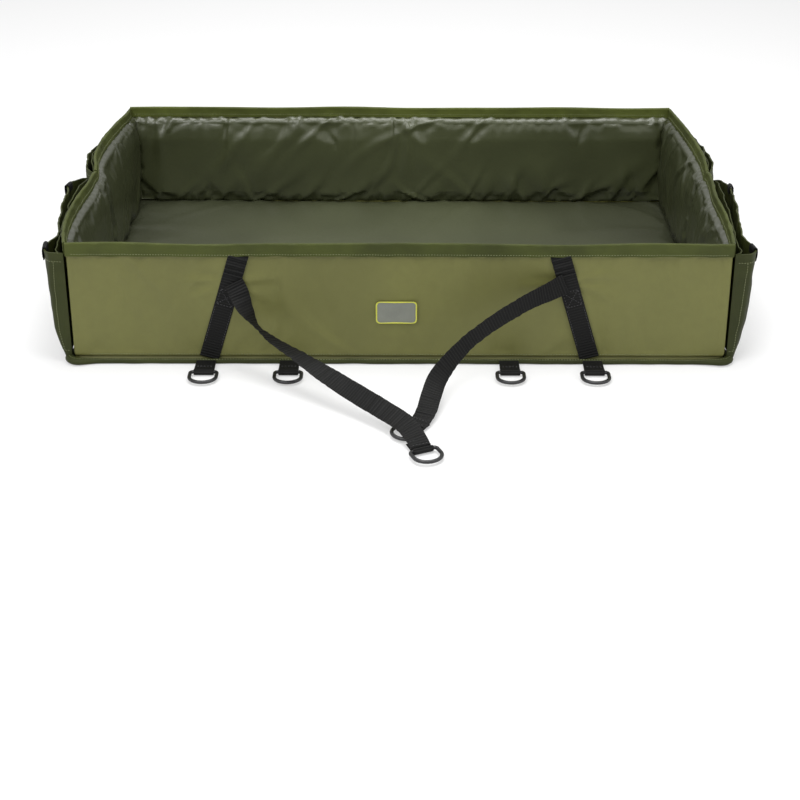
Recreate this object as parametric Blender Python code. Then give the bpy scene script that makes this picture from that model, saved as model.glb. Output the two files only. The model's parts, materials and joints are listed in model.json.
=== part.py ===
"""Unhooking mat for landed fish: a padded tray of cloth and foam that folds in half.

The mat lies set up on the ground. X runs along its length, -Y is its front, +Z is up, and the
origin is on the ground under the middle of the fold line. The floor is two padded halves with a
cloth hinge along X. A long wall stands on each half's outer edge, and each end wall is two half
panels, one on each floor half, with a crease between them.
"""

import math

import bmesh
import bpy
from mathutils import Vector

# Overall sizes of the mat as it stands
LENGTH = 1.000
DEPTH = 0.650
HEIGHT = 0.200

# Cloth, foam and the gaps between touching pieces
CLOTH = 0.0012
CLEAR = 0.0003
FLOOR_FOAM = 0.0140
WALL_FOAM = 0.0070
LINER = 0.0022
LINER_THIN = 0.0011

# Floor fold
FOLD_AXIS_Z = 0.0480
FOLD_STRIP_WIDTH = 0.024
FOAM_FOLD_GAP = 0.008
CREASE_GAP = 0.0010
GUSSET_ROOM = 0.0026

# Binding along the top of the walls and the welt round the floor
BINDING_DROP = 0.0180
SHOULDER_DROP = 0.0180
SHOULDER_RADIUS = 0.0060
WELT_WIDTH = 0.0060
WELT_HEIGHT = 0.0060
WELT_LIFT = 0.0008

# Webbing
WEBBING = 0.030
WEBBING_THICK = 0.0018
WALL_STRAP_TOP_X = 0.2400
WALL_STRAP_FOOT_X = 0.2850

# Plastic D-rings and the webbing loops that hold them
RING_ROD = 0.0056
RING_INSIDE = 0.0350
RING_DEPTH = 0.0340
RING_CORNER = 0.0042
RING_BOW_SHARE = 0.9
RING_PLAY = 0.0006
LOOP_WIDTH = 0.0310
LOOP_REACH = 0.0400
LOOP_TAIL_SHARE = 0.6
SEWN_TAIL = 0.0100
SEWN_GAP = 0.0010
OUTER_RING_X = 0.2960
INNER_RING_X = 0.1680
CUT_OVERRUN = 0.0030

# Closing tabs on the rear edge
TAB_X = 0.2520
TAB_HEM = 0.0016
TAB_TIP = 0.0780
TAB_RISE_PLAY = 0.0006

# Corner gussets: doubled cloth that stands off the end walls. Their run is given as shares: of
# the length, away from the corner, of the nose, off the end wall, and of the lift of the top.
GUSSET_THICK = 0.0022
GUSSET_LENGTH = 0.3150
GUSSET_NOSE = 0.0300
GUSSET_LIFT = 0.0160
GUSSET_FOOT = 0.0080
GUSSET_FOOT_SHARE = 0.30
GUSSET_RISE_SHARE = 0.45
GUSSET_RUN_SHARES = (
    (0.0082, 0.00, 0.00),
    (0.0096, 0.50, 0.00),
    (0.0205, 0.88, 0.00),
    (0.058, 1.00, 0.02),
    (0.120, 0.97, 0.08),
    (0.200, 0.80, 0.20),
    (0.330, 0.80, 0.50),
    (0.520, 0.92, 0.85),
    (0.700, 1.00, 1.00),
    (0.840, 0.97, 1.00),
    (0.940, 0.64, 0.40),
    (1.000, 0.00, 0.00),
)
GUSSET_REAR_RUN_SHARES = (
    (0.0082, 0.00, 0.00),
    (0.090, 0.24, 0.00),
    (0.255, 0.58, 0.05),
    (0.490, 0.85, 0.25),
    (0.690, 0.84, 0.60),
    (0.800, 0.88, 0.80),
    (0.900, 0.88, 0.70),
    (0.955, 0.50, 0.20),
    (1.000, 0.00, 0.00),
)
CORNER_TAB = 0.0200
CORNER_TAB_THICK = 0.0020
CORNER_TAB_STEP_SHARES = (-0.5, -0.17, 0.17, 0.5)
NOSE_TAB_SHARE = 0.088
GUSSET_TAB_SHARE = 0.78

# Blank patch on the front wall
PATCH_WIDTH = 0.0620
PATCH_HEIGHT = 0.0360
PATCH_THICK = 0.0012
PATCH_RADIUS = 0.0060
PATCH_X = -0.0045
PATCH_Z = 0.0860

# Carry straps: route points chosen by hand, and the direction of the strap's width at each
CARRY_THICK = 0.0018
CARRY_HINGE_Z = 0.1370
LEFT_CARRY_ROUTE = (
    (-0.2490, -0.3292, 0.1370),
    (-0.2420, -0.3338, 0.1230),
    (-0.2310, -0.3430, 0.0990),
    (-0.2150, -0.3560, 0.0780),
    (-0.1870, -0.3780, 0.0640),
    (-0.1460, -0.4100, 0.0520),
    (-0.1020, -0.4480, 0.0400),
    (-0.0540, -0.4910, 0.0300),
    (-0.0180, -0.5240, 0.0240),
    (0.0080, -0.5520, 0.0200),
    (0.0230, -0.5780, 0.0130),
    (0.0310, -0.5960, 0.0060),
)
LEFT_CARRY_WIDTHS = (
    (0.96, 0.0, 0.27),
    (0.93, 0.10, 0.30),
    (0.76, 0.52, 0.36),
    (0.36, 0.90, -0.10),
    (0.32, 0.84, 0.26),
    (0.40, 0.66, 0.62),
    (0.52, 0.60, 0.60),
    (0.60, 0.56, 0.57),
    (0.64, 0.58, 0.50),
    (0.74, 0.54, 0.40),
    (0.86, 0.44, 0.16),
    (0.91, 0.41, 0.0),
)
RIGHT_CARRY_ROUTE = (
    (0.2490, -0.3304, 0.1370),
    (0.2400, -0.3352, 0.1340),
    (0.2220, -0.3460, 0.1290),
    (0.1950, -0.3600, 0.1220),
    (0.1550, -0.3780, 0.1050),
    (0.1100, -0.3960, 0.0790),
    (0.0790, -0.4180, 0.0560),
    (0.0570, -0.4440, 0.0370),
    (0.0460, -0.4740, 0.0220),
    (0.0390, -0.5000, 0.0115),
    (0.0290, -0.5230, 0.0070),
    (0.0206, -0.5350, 0.0056),
)
RIGHT_CARRY_WIDTHS = (
    (0.50, -0.10, -0.86),
    (0.48, -0.10, -0.87),
    (0.40, 0.10, -0.91),
    (0.35, 0.25, -0.90),
    (0.50, 0.35, -0.79),
    (0.62, 0.45, -0.64),
    (0.76, 0.45, -0.47),
    (0.90, 0.35, -0.25),
    (0.97, 0.10, -0.10),
    (0.96, -0.20, -0.03),
    (0.88, -0.45, 0.0),
    (0.82, -0.57, 0.0),
)
CARRY_STEPS = 40

# Puckers of the liners, as shares of the depth that the thick liner leaves
PUCKER_SHARES = ((0.34, 3.0, 1.2), (0.20, 7.0, -2.1), (0.12, 13.0, 0.7))
CROWN_SHARE = 0.80

# Derived places
HALF_L = LENGTH / 2
HALF_D = DEPTH / 2
PAD = CLOTH + CLEAR + WALL_FOAM + CLEAR + LINER
FOAM_BOTTOM = CLOTH + CLEAR
FOAM_TOP = FOAM_BOTTOM + FLOOR_FOAM
FLOOR_TOP = FOAM_TOP + CLEAR + LINER
END_SEAM = FLOOR_TOP + CLEAR
LONG_SEAM = FLOOR_TOP + CLEAR + PAD + GUSSET_ROOM
INNER_D = HALF_D - PAD
INNER_L = HALF_L - PAD
PAD_TOP = HEIGHT - SHOULDER_DROP
WELT_OUT = HALF_D + CLEAR + WELT_WIDTH
BUNDLE = 2 * FOLD_AXIS_Z
LOOP_HOLE = RING_ROD / 2 + RING_PLAY
LOOP_OUTER = LOOP_HOLE + WEBBING_THICK
RING_Z = LOOP_OUTER + CLEAR
RING_Y = WELT_OUT + CLEAR + LOOP_REACH - LOOP_OUTER
STRAP_FACE = HALF_D + CLEAR + WEBBING_THICK
TAB_RISE = BUNDLE + TAB_RISE_PLAY - CLEAR - TAB_HEM / 2
GUSSET_TOP = HEIGHT - BINDING_DROP - CLEAR

OLIVE = (0.176, 0.180, 0.068)
DARK_OLIVE = (0.065, 0.088, 0.022)
LINER_GREEN = (0.048, 0.054, 0.024)
FLOOR_GREEN = (0.080, 0.088, 0.046)
FOAM_GREY = (0.42, 0.42, 0.40)
BLACK_WEB = (0.012, 0.012, 0.013)
BLACK_PLASTIC = (0.018, 0.018, 0.020)
PATCH_GREY = (0.23, 0.25, 0.22)

FINISHES = {}


def finish(name, colour, roughness, metallic=0.0):
    """One Principled material for each kind of stuff."""
    if name not in FINISHES:
        material = bpy.data.materials.new(name)
        material.use_nodes = True
        shader = material.node_tree.nodes["Principled BSDF"]
        shader.inputs["Base Color"].default_value = (*colour, 1.0)
        shader.inputs["Roughness"].default_value = roughness
        shader.inputs["Metallic"].default_value = metallic
        FINISHES[name] = material
    return FINISHES[name]


def outer_cloth():
    return finish("outer_nylon", OLIVE, 0.62)


def dark_cloth():
    return finish("binding_nylon", DARK_OLIVE, 0.70)


def wall_liner_cloth():
    return finish("wall_liner", LINER_GREEN, 0.38)


def floor_liner_cloth():
    return finish("floor_liner", FLOOR_GREEN, 0.42)


def foam():
    return finish("closed_cell_foam", FOAM_GREY, 0.85)


def webbing():
    return finish("webbing", BLACK_WEB, 0.75)


def plastic():
    return finish("ring_plastic", BLACK_PLASTIC, 0.35)


def patch_cloth():
    return finish("patch_cloth", PATCH_GREY, 0.60)


def clear_scene():
    for item in list(bpy.data.objects):
        bpy.data.objects.remove(item, do_unlink=True)


def add_piece(name, bm, material, parent=None, smooth=None):
    """Turn a bmesh into a named object; smooth is the sharp angle in degrees."""
    bmesh.ops.recalc_face_normals(bm, faces=bm.faces)
    mesh = bpy.data.meshes.new(name)
    bm.to_mesh(mesh)
    bm.free()
    mesh.materials.append(material)
    if smooth is not None:
        mesh.shade_smooth()
        mesh.set_sharp_from_angle(angle=math.radians(smooth))
    piece = bpy.data.objects.new(name, mesh)
    bpy.context.collection.objects.link(piece)
    if parent is not None:
        piece.parent = parent
        piece.matrix_parent_inverse = parent.matrix_world.inverted()
    return piece


def add_pivot(name, place, parent=None):
    """An empty on a joint's axis; the pieces that turn about it are its children."""
    pivot = bpy.data.objects.new(name, None)
    pivot.location = place
    bpy.context.collection.objects.link(pivot)
    bpy.context.view_layer.update()
    if parent is not None:
        pivot.parent = parent
        pivot.matrix_parent_inverse = parent.matrix_world.inverted()
        bpy.context.view_layer.update()
    return pivot


def loft(rings, closed=False):
    """A closed body through rings of points; a closed loft joins its last ring to its first."""
    bm = bmesh.new()
    rows = [[bm.verts.new(point) for point in ring] for ring in rings]
    count = len(rows[0])
    pairs = list(zip(rows, rows[1:]))
    if closed:
        pairs.append((rows[-1], rows[0]))
    for low, high in pairs:
        for i in range(count):
            j = (i + 1) % count
            bm.faces.new((low[i], low[j], high[j], high[i]))
    if not closed:
        bm.faces.new(rows[0])
        bm.faces.new(rows[-1])
    return bm


def box(low, high):
    """A plain box between two corners."""
    ring = ((low[0], low[1]), (high[0], low[1]), (high[0], high[1]), (low[0], high[1]))
    return loft([[(x, y, z) for x, y in ring] for z in (low[2], high[2])])


def extrude_x(profile, start, end):
    """A profile of (y, z) points drawn out along X."""
    return loft([[(x, y, z) for y, z in profile] for x in (start, end)])


def arc(centre, radius, start, end, steps):
    """Points (a, b) along an arc, angles in degrees."""
    points = []
    for i in range(steps + 1):
        turn = math.radians(start + (end - start) * i / steps)
        points.append((centre[0] + radius * math.cos(turn), centre[1] + radius * math.sin(turn)))
    return points


def pucker(along, up):
    """How far a liner swells, 0 to 1, at shares along and up its panel."""
    crown = math.sin(math.pi * along) ** 0.5 * math.sin(math.pi * min(max(up, 0.0), 1.0)) ** 0.5
    wave = 0.0
    for share, times, slant in PUCKER_SHARES:
        wave += share * math.sin(2 * math.pi * (times * along + slant * up))
    return min(max((CROWN_SHARE + wave) * crown, 0.0), 1.0)


class Wall:
    """Where a wall stands: u runs along it, n runs inward from its outer face, h is height."""

    def __init__(self, name, is_long, side_x, side_y, start, end, seam):
        self.name = name
        self.is_long = is_long
        self.side_x = side_x
        self.side_y = side_y
        self.start = start
        self.end = end
        self.seam = seam

    def at(self, u, n, h):
        if self.is_long:
            return (u, self.side_y * (HALF_D - n), h)
        return (self.side_x * (HALF_L - n), u, h)

    def drawn(self, profile):
        """A profile of (n, h) points drawn along the wall."""
        return loft([[self.at(u, n, h) for n, h in profile] for u in (self.start, self.end)])


def wall_cloth(wall, parent):
    cloth_top = HEIGHT - CLOTH - CLEAR
    profile = ((0, wall.seam), (CLOTH, wall.seam), (CLOTH, cloth_top), (0, cloth_top))
    return add_piece(wall.name + "_outer_cloth", wall.drawn(profile), outer_cloth(), parent)


def wall_foam(wall, parent):
    outer = CLOTH + CLEAR
    inner = outer + WALL_FOAM
    centre = (inner - SHOULDER_RADIUS, PAD_TOP - LINER - CLEAR - SHOULDER_RADIUS)
    shoulder = arc(centre, SHOULDER_RADIUS, 0, 90, 4)
    profile = [(outer, wall.seam), (inner, wall.seam), *shoulder, (outer, shoulder[-1][1])]
    return add_piece(wall.name + "_foam", wall.drawn(profile), foam(), parent)


def wall_liner(wall, parent, steps):
    """The liner goes up the inner face, over the rounded shoulder and back to the outer cloth."""
    outer = CLOTH + CLEAR
    inner = outer + WALL_FOAM + CLEAR
    radius = SHOULDER_RADIUS + CLEAR
    centre = (inner - radius, PAD_TOP - LINER - radius)
    straight = [wall.seam + (centre[1] - wall.seam) * i / 4 for i in range(4)]
    inside = [(inner, h) for h in straight] + arc(centre, radius, 0, 90, 4)
    inside.append((outer, inside[-1][1]))
    ways = [(1.0, 0.0)] * 4 + [(math.cos(math.radians(a)), math.sin(math.radians(a)))
                               for a in (0, 22.5, 45, 67.5, 90)] + [(0.0, 1.0)]
    span = PAD_TOP - wall.seam
    rings = []
    for i in range(steps + 1):
        along = i / steps
        u = wall.start + (wall.end - wall.start) * along
        outside = []
        for (n, h), (wn, wh) in zip(inside, ways):
            up = (h - wall.seam) / span
            thick = LINER_THIN + (LINER - LINER_THIN) * pucker(along, up)
            outside.append((n + wn * thick, h + wh * thick))
        ring = [wall.at(u, n, h) for n, h in inside]
        ring += [wall.at(u, n, h) for n, h in reversed(outside)]
        rings.append(ring)
    return add_piece(wall.name + "_liner", loft(rings), wall_liner_cloth(), parent, smooth=50)


def wall_binding(wall, parent):
    """A tape folded over the top edge of the outer cloth."""
    out = -CLEAR - CLOTH
    back = CLOTH + CLEAR
    profile = (
        (out, HEIGHT - BINDING_DROP),
        (-CLEAR, HEIGHT - BINDING_DROP),
        (-CLEAR, HEIGHT - CLOTH),
        (back, HEIGHT - CLOTH),
        (back, PAD_TOP + CLEAR),
        (back + CLOTH, PAD_TOP + CLEAR),
        (back + CLOTH, HEIGHT),
        (out, HEIGHT),
    )
    return add_piece(wall.name + "_binding", wall.drawn(profile), dark_cloth(), parent)


def wall_pieces(wall, parent, steps):
    wall_cloth(wall, parent)
    wall_foam(wall, parent)
    wall_liner(wall, parent, steps)
    wall_binding(wall, parent)


def base_cloth(name, side, parent):
    """The outer cloth under one floor half, turned up round the foam's three outer edges."""
    inner = FOLD_STRIP_WIDTH / 2
    rim_l = HALF_L - CLOTH
    rim_d = HALF_D - CLOTH
    low_top = FLOOR_TOP
    high_top = LONG_SEAM - CLEAR
    bm = bmesh.new()
    xs = (-HALF_L, -rim_l, rim_l, HALF_L)
    ys = (inner, rim_d, HALF_D)
    height = {}
    for i in range(3):
        height[i, 0] = CLOTH if i == 1 else low_top
        height[i, 1] = high_top
    levels = (0.0, CLOTH, low_top, high_top)
    made = {}

    def corner(x, y, z):
        key = (x, y, z)
        if key not in made:
            made[key] = bm.verts.new((x, side * y, z))
        return made[key]

    def filled(i, j, k):
        if i < 0 or i > 2 or j < 0 or j > 1 or k < 0 or k > 2:
            return False
        return levels[k + 1] <= height[i, j]

    for i in range(3):
        for j in range(2):
            for k in range(3):
                if not filled(i, j, k):
                    continue
                x0, x1, y0, y1 = xs[i], xs[i + 1], ys[j], ys[j + 1]
                z0, z1 = levels[k], levels[k + 1]
                faces = {
                    (-1, 0, 0): ((x0, y0, z0), (x0, y1, z0), (x0, y1, z1), (x0, y0, z1)),
                    (1, 0, 0): ((x1, y0, z0), (x1, y1, z0), (x1, y1, z1), (x1, y0, z1)),
                    (0, -1, 0): ((x0, y0, z0), (x1, y0, z0), (x1, y0, z1), (x0, y0, z1)),
                    (0, 1, 0): ((x0, y1, z0), (x1, y1, z0), (x1, y1, z1), (x0, y1, z1)),
                    (0, 0, -1): ((x0, y0, z0), (x1, y0, z0), (x1, y1, z0), (x0, y1, z0)),
                    (0, 0, 1): ((x0, y0, z1), (x1, y0, z1), (x1, y1, z1), (x0, y1, z1)),
                }
                for (di, dj, dk), points in faces.items():
                    if not filled(i + di, j + dj, k + dk):
                        bm.faces.new([corner(*point) for point in points])
    return add_piece(name, bm, outer_cloth(), parent)


def floor_foam(name, side, parent):
    """Floor foam with the low curb that the long wall's pad stands on."""
    start = FOAM_FOLD_GAP / 2
    out = HALF_D - CLOTH - CLEAR
    curb = INNER_D
    profile = [
        (side * start, FOAM_BOTTOM),
        (side * out, FOAM_BOTTOM),
        (side * out, LONG_SEAM - CLEAR),
        (side * curb, LONG_SEAM - CLEAR),
        (side * curb, FOAM_TOP),
        (side * start, FOAM_TOP),
    ]
    reach = HALF_L - CLOTH - CLEAR
    return add_piece(name, extrude_x(profile, -reach, reach), foam(), parent)


def floor_liner(name, side, parent, along_steps, across_steps):
    """The soft floor cover of one half: flat below, with slow rises and hollows on top."""
    reach = HALF_L - CLOTH - CLEAR
    near = CREASE_GAP / 2
    far = INNER_D - CLEAR
    bottom = FOAM_TOP + CLEAR
    rings = []
    for i in range(along_steps + 1):
        along = i / along_steps
        x = -reach + 2 * reach * along
        ring = [(x, side * near, bottom), (x, side * far, bottom)]
        for j in range(across_steps, -1, -1):
            across = j / across_steps
            thick = LINER_THIN + (LINER - LINER_THIN) * pucker(along, across)
            ring.append((x, side * (near + (far - near) * across), bottom + thick))
        rings.append(ring)
    return add_piece(name, loft(rings), floor_liner_cloth(), parent, smooth=50)


def floor_welt(name, side, parent):
    """The stitched edge that stands out round three sides of one floor half."""
    low = WELT_LIFT
    top = WELT_LIFT + WELT_HEIGHT
    chamfer = WELT_HEIGHT / 4
    profile = (
        (CLEAR, low),
        (WELT_WIDTH + CLEAR - chamfer, low),
        (WELT_WIDTH + CLEAR, low + chamfer),
        (WELT_WIDTH + CLEAR, top - chamfer),
        (WELT_WIDTH + CLEAR - chamfer, top),
        (CLEAR, top),
    )
    start = FOLD_STRIP_WIDTH / 2
    stations = (
        (-HALF_L, start, -1, 0),
        (-HALF_L, HALF_D, -1, 1),
        (HALF_L, HALF_D, 1, 1),
        (HALF_L, start, 1, 0),
    )
    rings = []
    for x, y, out_x, out_y in stations:
        rings.append([(x + out_x * o, side * (y + out_y * o), z) for o, z in profile])
    return add_piece(name, loft(rings), dark_cloth(), parent)


def fold_strip(parent):
    """The cloth hinge between the two floor halves."""
    reach = FOLD_STRIP_WIDTH / 2 - CLEAR
    bm = box((-HALF_L, -reach, 0), (HALF_L, reach, CLOTH))
    return add_piece("fold_strip", bm, outer_cloth(), parent)


def ring_path():
    """The D-ring's centre line in its own plane: bar on X, bow towards -Y."""
    half = RING_INSIDE / 2 + RING_ROD / 2
    bend = RING_CORNER
    rise = half * RING_BOW_SHARE
    path = arc((half - bend, -bend), bend, 90, 0, 2)
    steps = 9
    for i in range(steps + 1):
        turn = math.pi * i / steps
        path.append((half * math.cos(turn), rise - RING_DEPTH - rise * math.sin(turn)))
    path += arc((-half + bend, -bend), bend, 180, 90, 2)
    return path


def d_ring(name, pivot, aim=(0.0, -1.0, 0.0)):
    """A D-ring whose bar is centred on its pivot and whose bow points along aim."""
    centre = pivot.matrix_world.translation
    ahead = Vector(aim).normalized()
    across = Vector((0.0, 0.0, 1.0)).cross(ahead).normalized()
    up = ahead.cross(across).normalized()
    path = ring_path()
    count = len(path)
    sides = 8
    rings = []
    for i in range(count):
        before = Vector(path[i - 1])
        after = Vector(path[(i + 1) % count])
        tangent = (after - before).normalized()
        normal = Vector((tangent.y, -tangent.x))
        ring = []
        for k in range(sides):
            turn = 2 * math.pi * (k + 0.5) / sides
            out = RING_ROD / 2 * math.cos(turn)
            high = RING_ROD / 2 * math.sin(turn)
            flat = Vector(path[i]) + normal * out
            ring.append(centre - across * flat.x - ahead * flat.y + up * high)
        rings.append(ring)
    return add_piece(name, loft(rings, closed=True), plastic(), pivot, smooth=50)


def loop_profile(back):
    """A webbing loop's side view with its bar at the origin: a sleeve with a tail to the seam."""
    outer = [(-y, z) for y, z in arc((0, 0), LOOP_OUTER, -100, 100, 8)]
    tail = WEBBING_THICK * LOOP_TAIL_SHARE
    return outer + [(back, tail), (back, -tail)]


def loop_solids(name, centre, aim, back, parent):
    """A sleeve round a D-ring's bar, and the bore that is cut from it for the bar."""
    ahead = Vector(aim).normalized()
    across = Vector((0.0, 0.0, 1.0)).cross(ahead).normalized()
    up = ahead.cross(across).normalized()
    holes = 10
    outline = loop_profile(back)
    hole = arc((0, 0), LOOP_HOLE / math.cos(math.pi / holes), 0, 360, holes)[:-1]
    half = LOOP_WIDTH / 2
    beyond = half + CUT_OVERRUN

    def place(x, point):
        return Vector(centre) + across * x - ahead * point[0] + up * point[1]

    solid = loft([[place(x, p) for p in outline] for x in (-half, half)])
    cut = loft([[place(x, p) for p in hole] for x in (-beyond, beyond)])
    return (add_piece(name + "_sleeve", solid, webbing(), parent),
            add_piece(name + "_bore", cut, webbing(), parent))


def webbing_loop(name, centre, aim, back, parent):
    """Webbing doubled round a D-ring's bar: aim points from the loop to the ring."""
    piece, cutter = loop_solids(name, centre, aim, back, parent)
    piece.name = name
    cutter.hide_render = True
    cutter.display_type = "WIRE"
    boolean = piece.modifiers.new("bar_hole", "BOOLEAN")
    boolean.operation = "DIFFERENCE"
    boolean.solver = "EXACT"
    boolean.object = cutter
    return piece


def wall_strap(name, side, parent):
    """Webbing sewn down the front wall, slanting outwards to its foot."""
    top = HEIGHT - BINDING_DROP - CLEAR
    foot = LONG_SEAM + CLEAR
    run = (WALL_STRAP_FOOT_X - WALL_STRAP_TOP_X) / (top - foot)
    half = WEBBING / 2 * math.hypot(1.0, run)
    rings = []
    for z, x in ((top, WALL_STRAP_TOP_X), (foot, WALL_STRAP_FOOT_X)):
        ring = []
        for dx, dy in ((-half, 0), (half, 0), (half, WEBBING_THICK), (-half, WEBBING_THICK)):
            ring.append((side * x + dx, -HALF_D - CLEAR - dy, z))
        rings.append(ring)
    return add_piece(name, loft(rings), webbing(), parent)


def smooth_route(points, steps):
    """Points at even steps along a smooth curve through the given ones."""
    route = [Vector(p) for p in points]
    count = len(route)
    out = []
    for i in range(steps + 1):
        t = (count - 1) * i / steps
        k = min(int(t), count - 2)
        f = t - k
        p0 = route[max(k - 1, 0)]
        p1, p2 = route[k], route[k + 1]
        p3 = route[min(k + 2, count - 1)]
        cubic = (2 * p1 + (p2 - p0) * f + (2 * p0 - 5 * p1 + 4 * p2 - p3) * f * f
                 + (3 * p1 - p0 - 3 * p2 + p3) * f * f * f)
        out.append(cubic / 2)
    return out


def carry_strap(name, route, widths, parent):
    """A free length of webbing that twists as it comes away from the wall."""
    line = smooth_route(route, CARRY_STEPS)
    turns = smooth_route(widths, CARRY_STEPS)
    rings = []
    for i, centre in enumerate(line):
        tangent = (line[min(i + 1, CARRY_STEPS)] - line[max(i - 1, 0)]).normalized()
        wide = turns[i] - tangent * turns[i].dot(tangent)
        wide = wide.normalized() * WEBBING / 2
        thick = tangent.cross(wide).normalized() * CARRY_THICK / 2
        rings.append([centre - wide - thick, centre + wide - thick,
                      centre + wide + thick, centre - wide + thick])
    return add_piece(name, loft(rings), webbing(), parent, smooth=50)


def sew_loop(strap, centre, aim, parent):
    """The strap's end turned round a ring's bar and sewn down."""
    sleeve, hole = loop_solids(strap.name, centre, aim, SEWN_TAIL, parent)
    for part, operation in ((sleeve, "UNION"), (hole, "DIFFERENCE")):
        boolean = strap.modifiers.new(part.name, "BOOLEAN")
        boolean.operation = operation
        boolean.solver = "EXACT"
        boolean.object = part
        part.hide_render = True
        part.display_type = "WIRE"


def tab_piece(name, side, start, end, parent):
    """A flat length of closing tab lying on the ground behind the mat."""
    low = (side * TAB_X - WEBBING / 2, start, CLEAR)
    high = (side * TAB_X + WEBBING / 2, end, CLEAR + TAB_HEM)
    return add_piece(name, box(low, high), webbing(), parent)


def gusset_line(side_y):
    """The gusset's run: (distance from the corner, distance off the end wall, height of its top)."""
    shares = GUSSET_RUN_SHARES if side_y < 0 else GUSSET_REAR_RUN_SHARES
    return [(GUSSET_LENGTH * a, GUSSET_NOSE * b, GUSSET_TOP + GUSSET_LIFT * c)
            for a, b, c in shares]


def gusset_sheet(stations, thick, shift, side_x, side_y):
    """An upright sheet along the gusset: each station is (distance, stand-off, low, top)."""
    rings = []
    for i, (d, o, low, top) in enumerate(stations):
        before = Vector(stations[max(i - 1, 0)][:2])
        after = Vector(stations[min(i + 1, len(stations) - 1)][:2])
        run = (after - before).normalized()
        across = Vector((-run.y, run.x))
        ring = []
        for z, way in ((low, 1), (top, 1), (top, -1), (low, -1)):
            lean = GUSSET_FOOT_SHARE + (1 - GUSSET_FOOT_SHARE) * z / GUSSET_TOP
            stand = CLEAR + GUSSET_THICK / 2 + o * lean
            place = Vector((d, stand)) + across * (way * thick / 2 + shift)
            ring.append((side_x * (HALF_L + place.y), side_y * (HALF_D - place.x), z))
        rings.append(ring)
    return loft(rings)


def gusset(name, side_x, side_y, parent):
    """Doubled cloth that joins a long wall to an end wall, standing off outside it."""
    stations = []
    for d, o, top in gusset_line(side_y):
        low = GUSSET_FOOT + (GUSSET_TOP - GUSSET_FOOT) * GUSSET_RISE_SHARE * d / GUSSET_LENGTH
        stations.append((d, o, low, top))
    sheet = gusset_sheet(stations, GUSSET_THICK, 0.0, side_x, side_y)
    return add_piece(name, sheet, dark_cloth(), parent, smooth=40)


def corner_tab(name, side_x, d_share, parent):
    """A short webbing pull sewn to a front gusset's outer side."""
    line = gusset_line(-1)
    stations = []
    for step in CORNER_TAB_STEP_SHARES:
        d = GUSSET_LENGTH * d_share + CORNER_TAB * step
        for (d0, o0, top0), (d1, o1, top1) in zip(line, line[1:]):
            if d0 <= d <= d1:
                share = (d - d0) / (d1 - d0)
                top = top0 + (top1 - top0) * share
                stations.append((d, o0 + (o1 - o0) * share, top - CORNER_TAB, top))
                break
    shift = GUSSET_THICK / 2 + CLEAR + CORNER_TAB_THICK / 2
    sheet = gusset_sheet(stations, CORNER_TAB_THICK, shift, side_x, -1)
    return add_piece(name, sheet, webbing(), parent)


def front_patch(parent):
    """A blank sewn patch with rounded corners."""
    w = PATCH_WIDTH / 2 - PATCH_RADIUS
    h = PATCH_HEIGHT / 2 - PATCH_RADIUS
    outline = []
    for cx, cz, start in ((w, h, 0), (-w, h, 90), (-w, -h, 180), (w, -h, 270)):
        outline += arc((PATCH_X + cx, PATCH_Z + cz), PATCH_RADIUS, start, start + 90, 4)
    near = -HALF_D - CLEAR
    far = near - PATCH_THICK
    bm = loft([[(x, y, z) for x, z in outline] for y in (near, far)])
    return add_piece("front_patch", bm, patch_cloth(), parent)


def floor_half(word, side, parent):
    base_cloth(word + "_base_cloth", side, parent)
    floor_foam(word + "_floor_foam", side, parent)
    floor_liner(word + "_floor_liner", side, parent, 18, 8)
    floor_welt(word + "_floor_welt", side, parent)


def end_half(side_x, side_y, parent):
    """One half of an end wall with the gusset at its corner."""
    name = ("left" if side_x < 0 else "right") + ("_front" if side_y < 0 else "_rear")
    pivot = add_pivot(name + "_end_pivot", (side_x * INNER_L, 0, END_SEAM), parent)
    near = side_y * CREASE_GAP / 2
    far = side_y * (INNER_D - CLEAR)
    wall = Wall(name + "_end", False, side_x, side_y, near, far, END_SEAM)
    wall_pieces(wall, pivot, 8)
    gusset(name + "_gusset", side_x, side_y, pivot)
    return pivot


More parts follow.
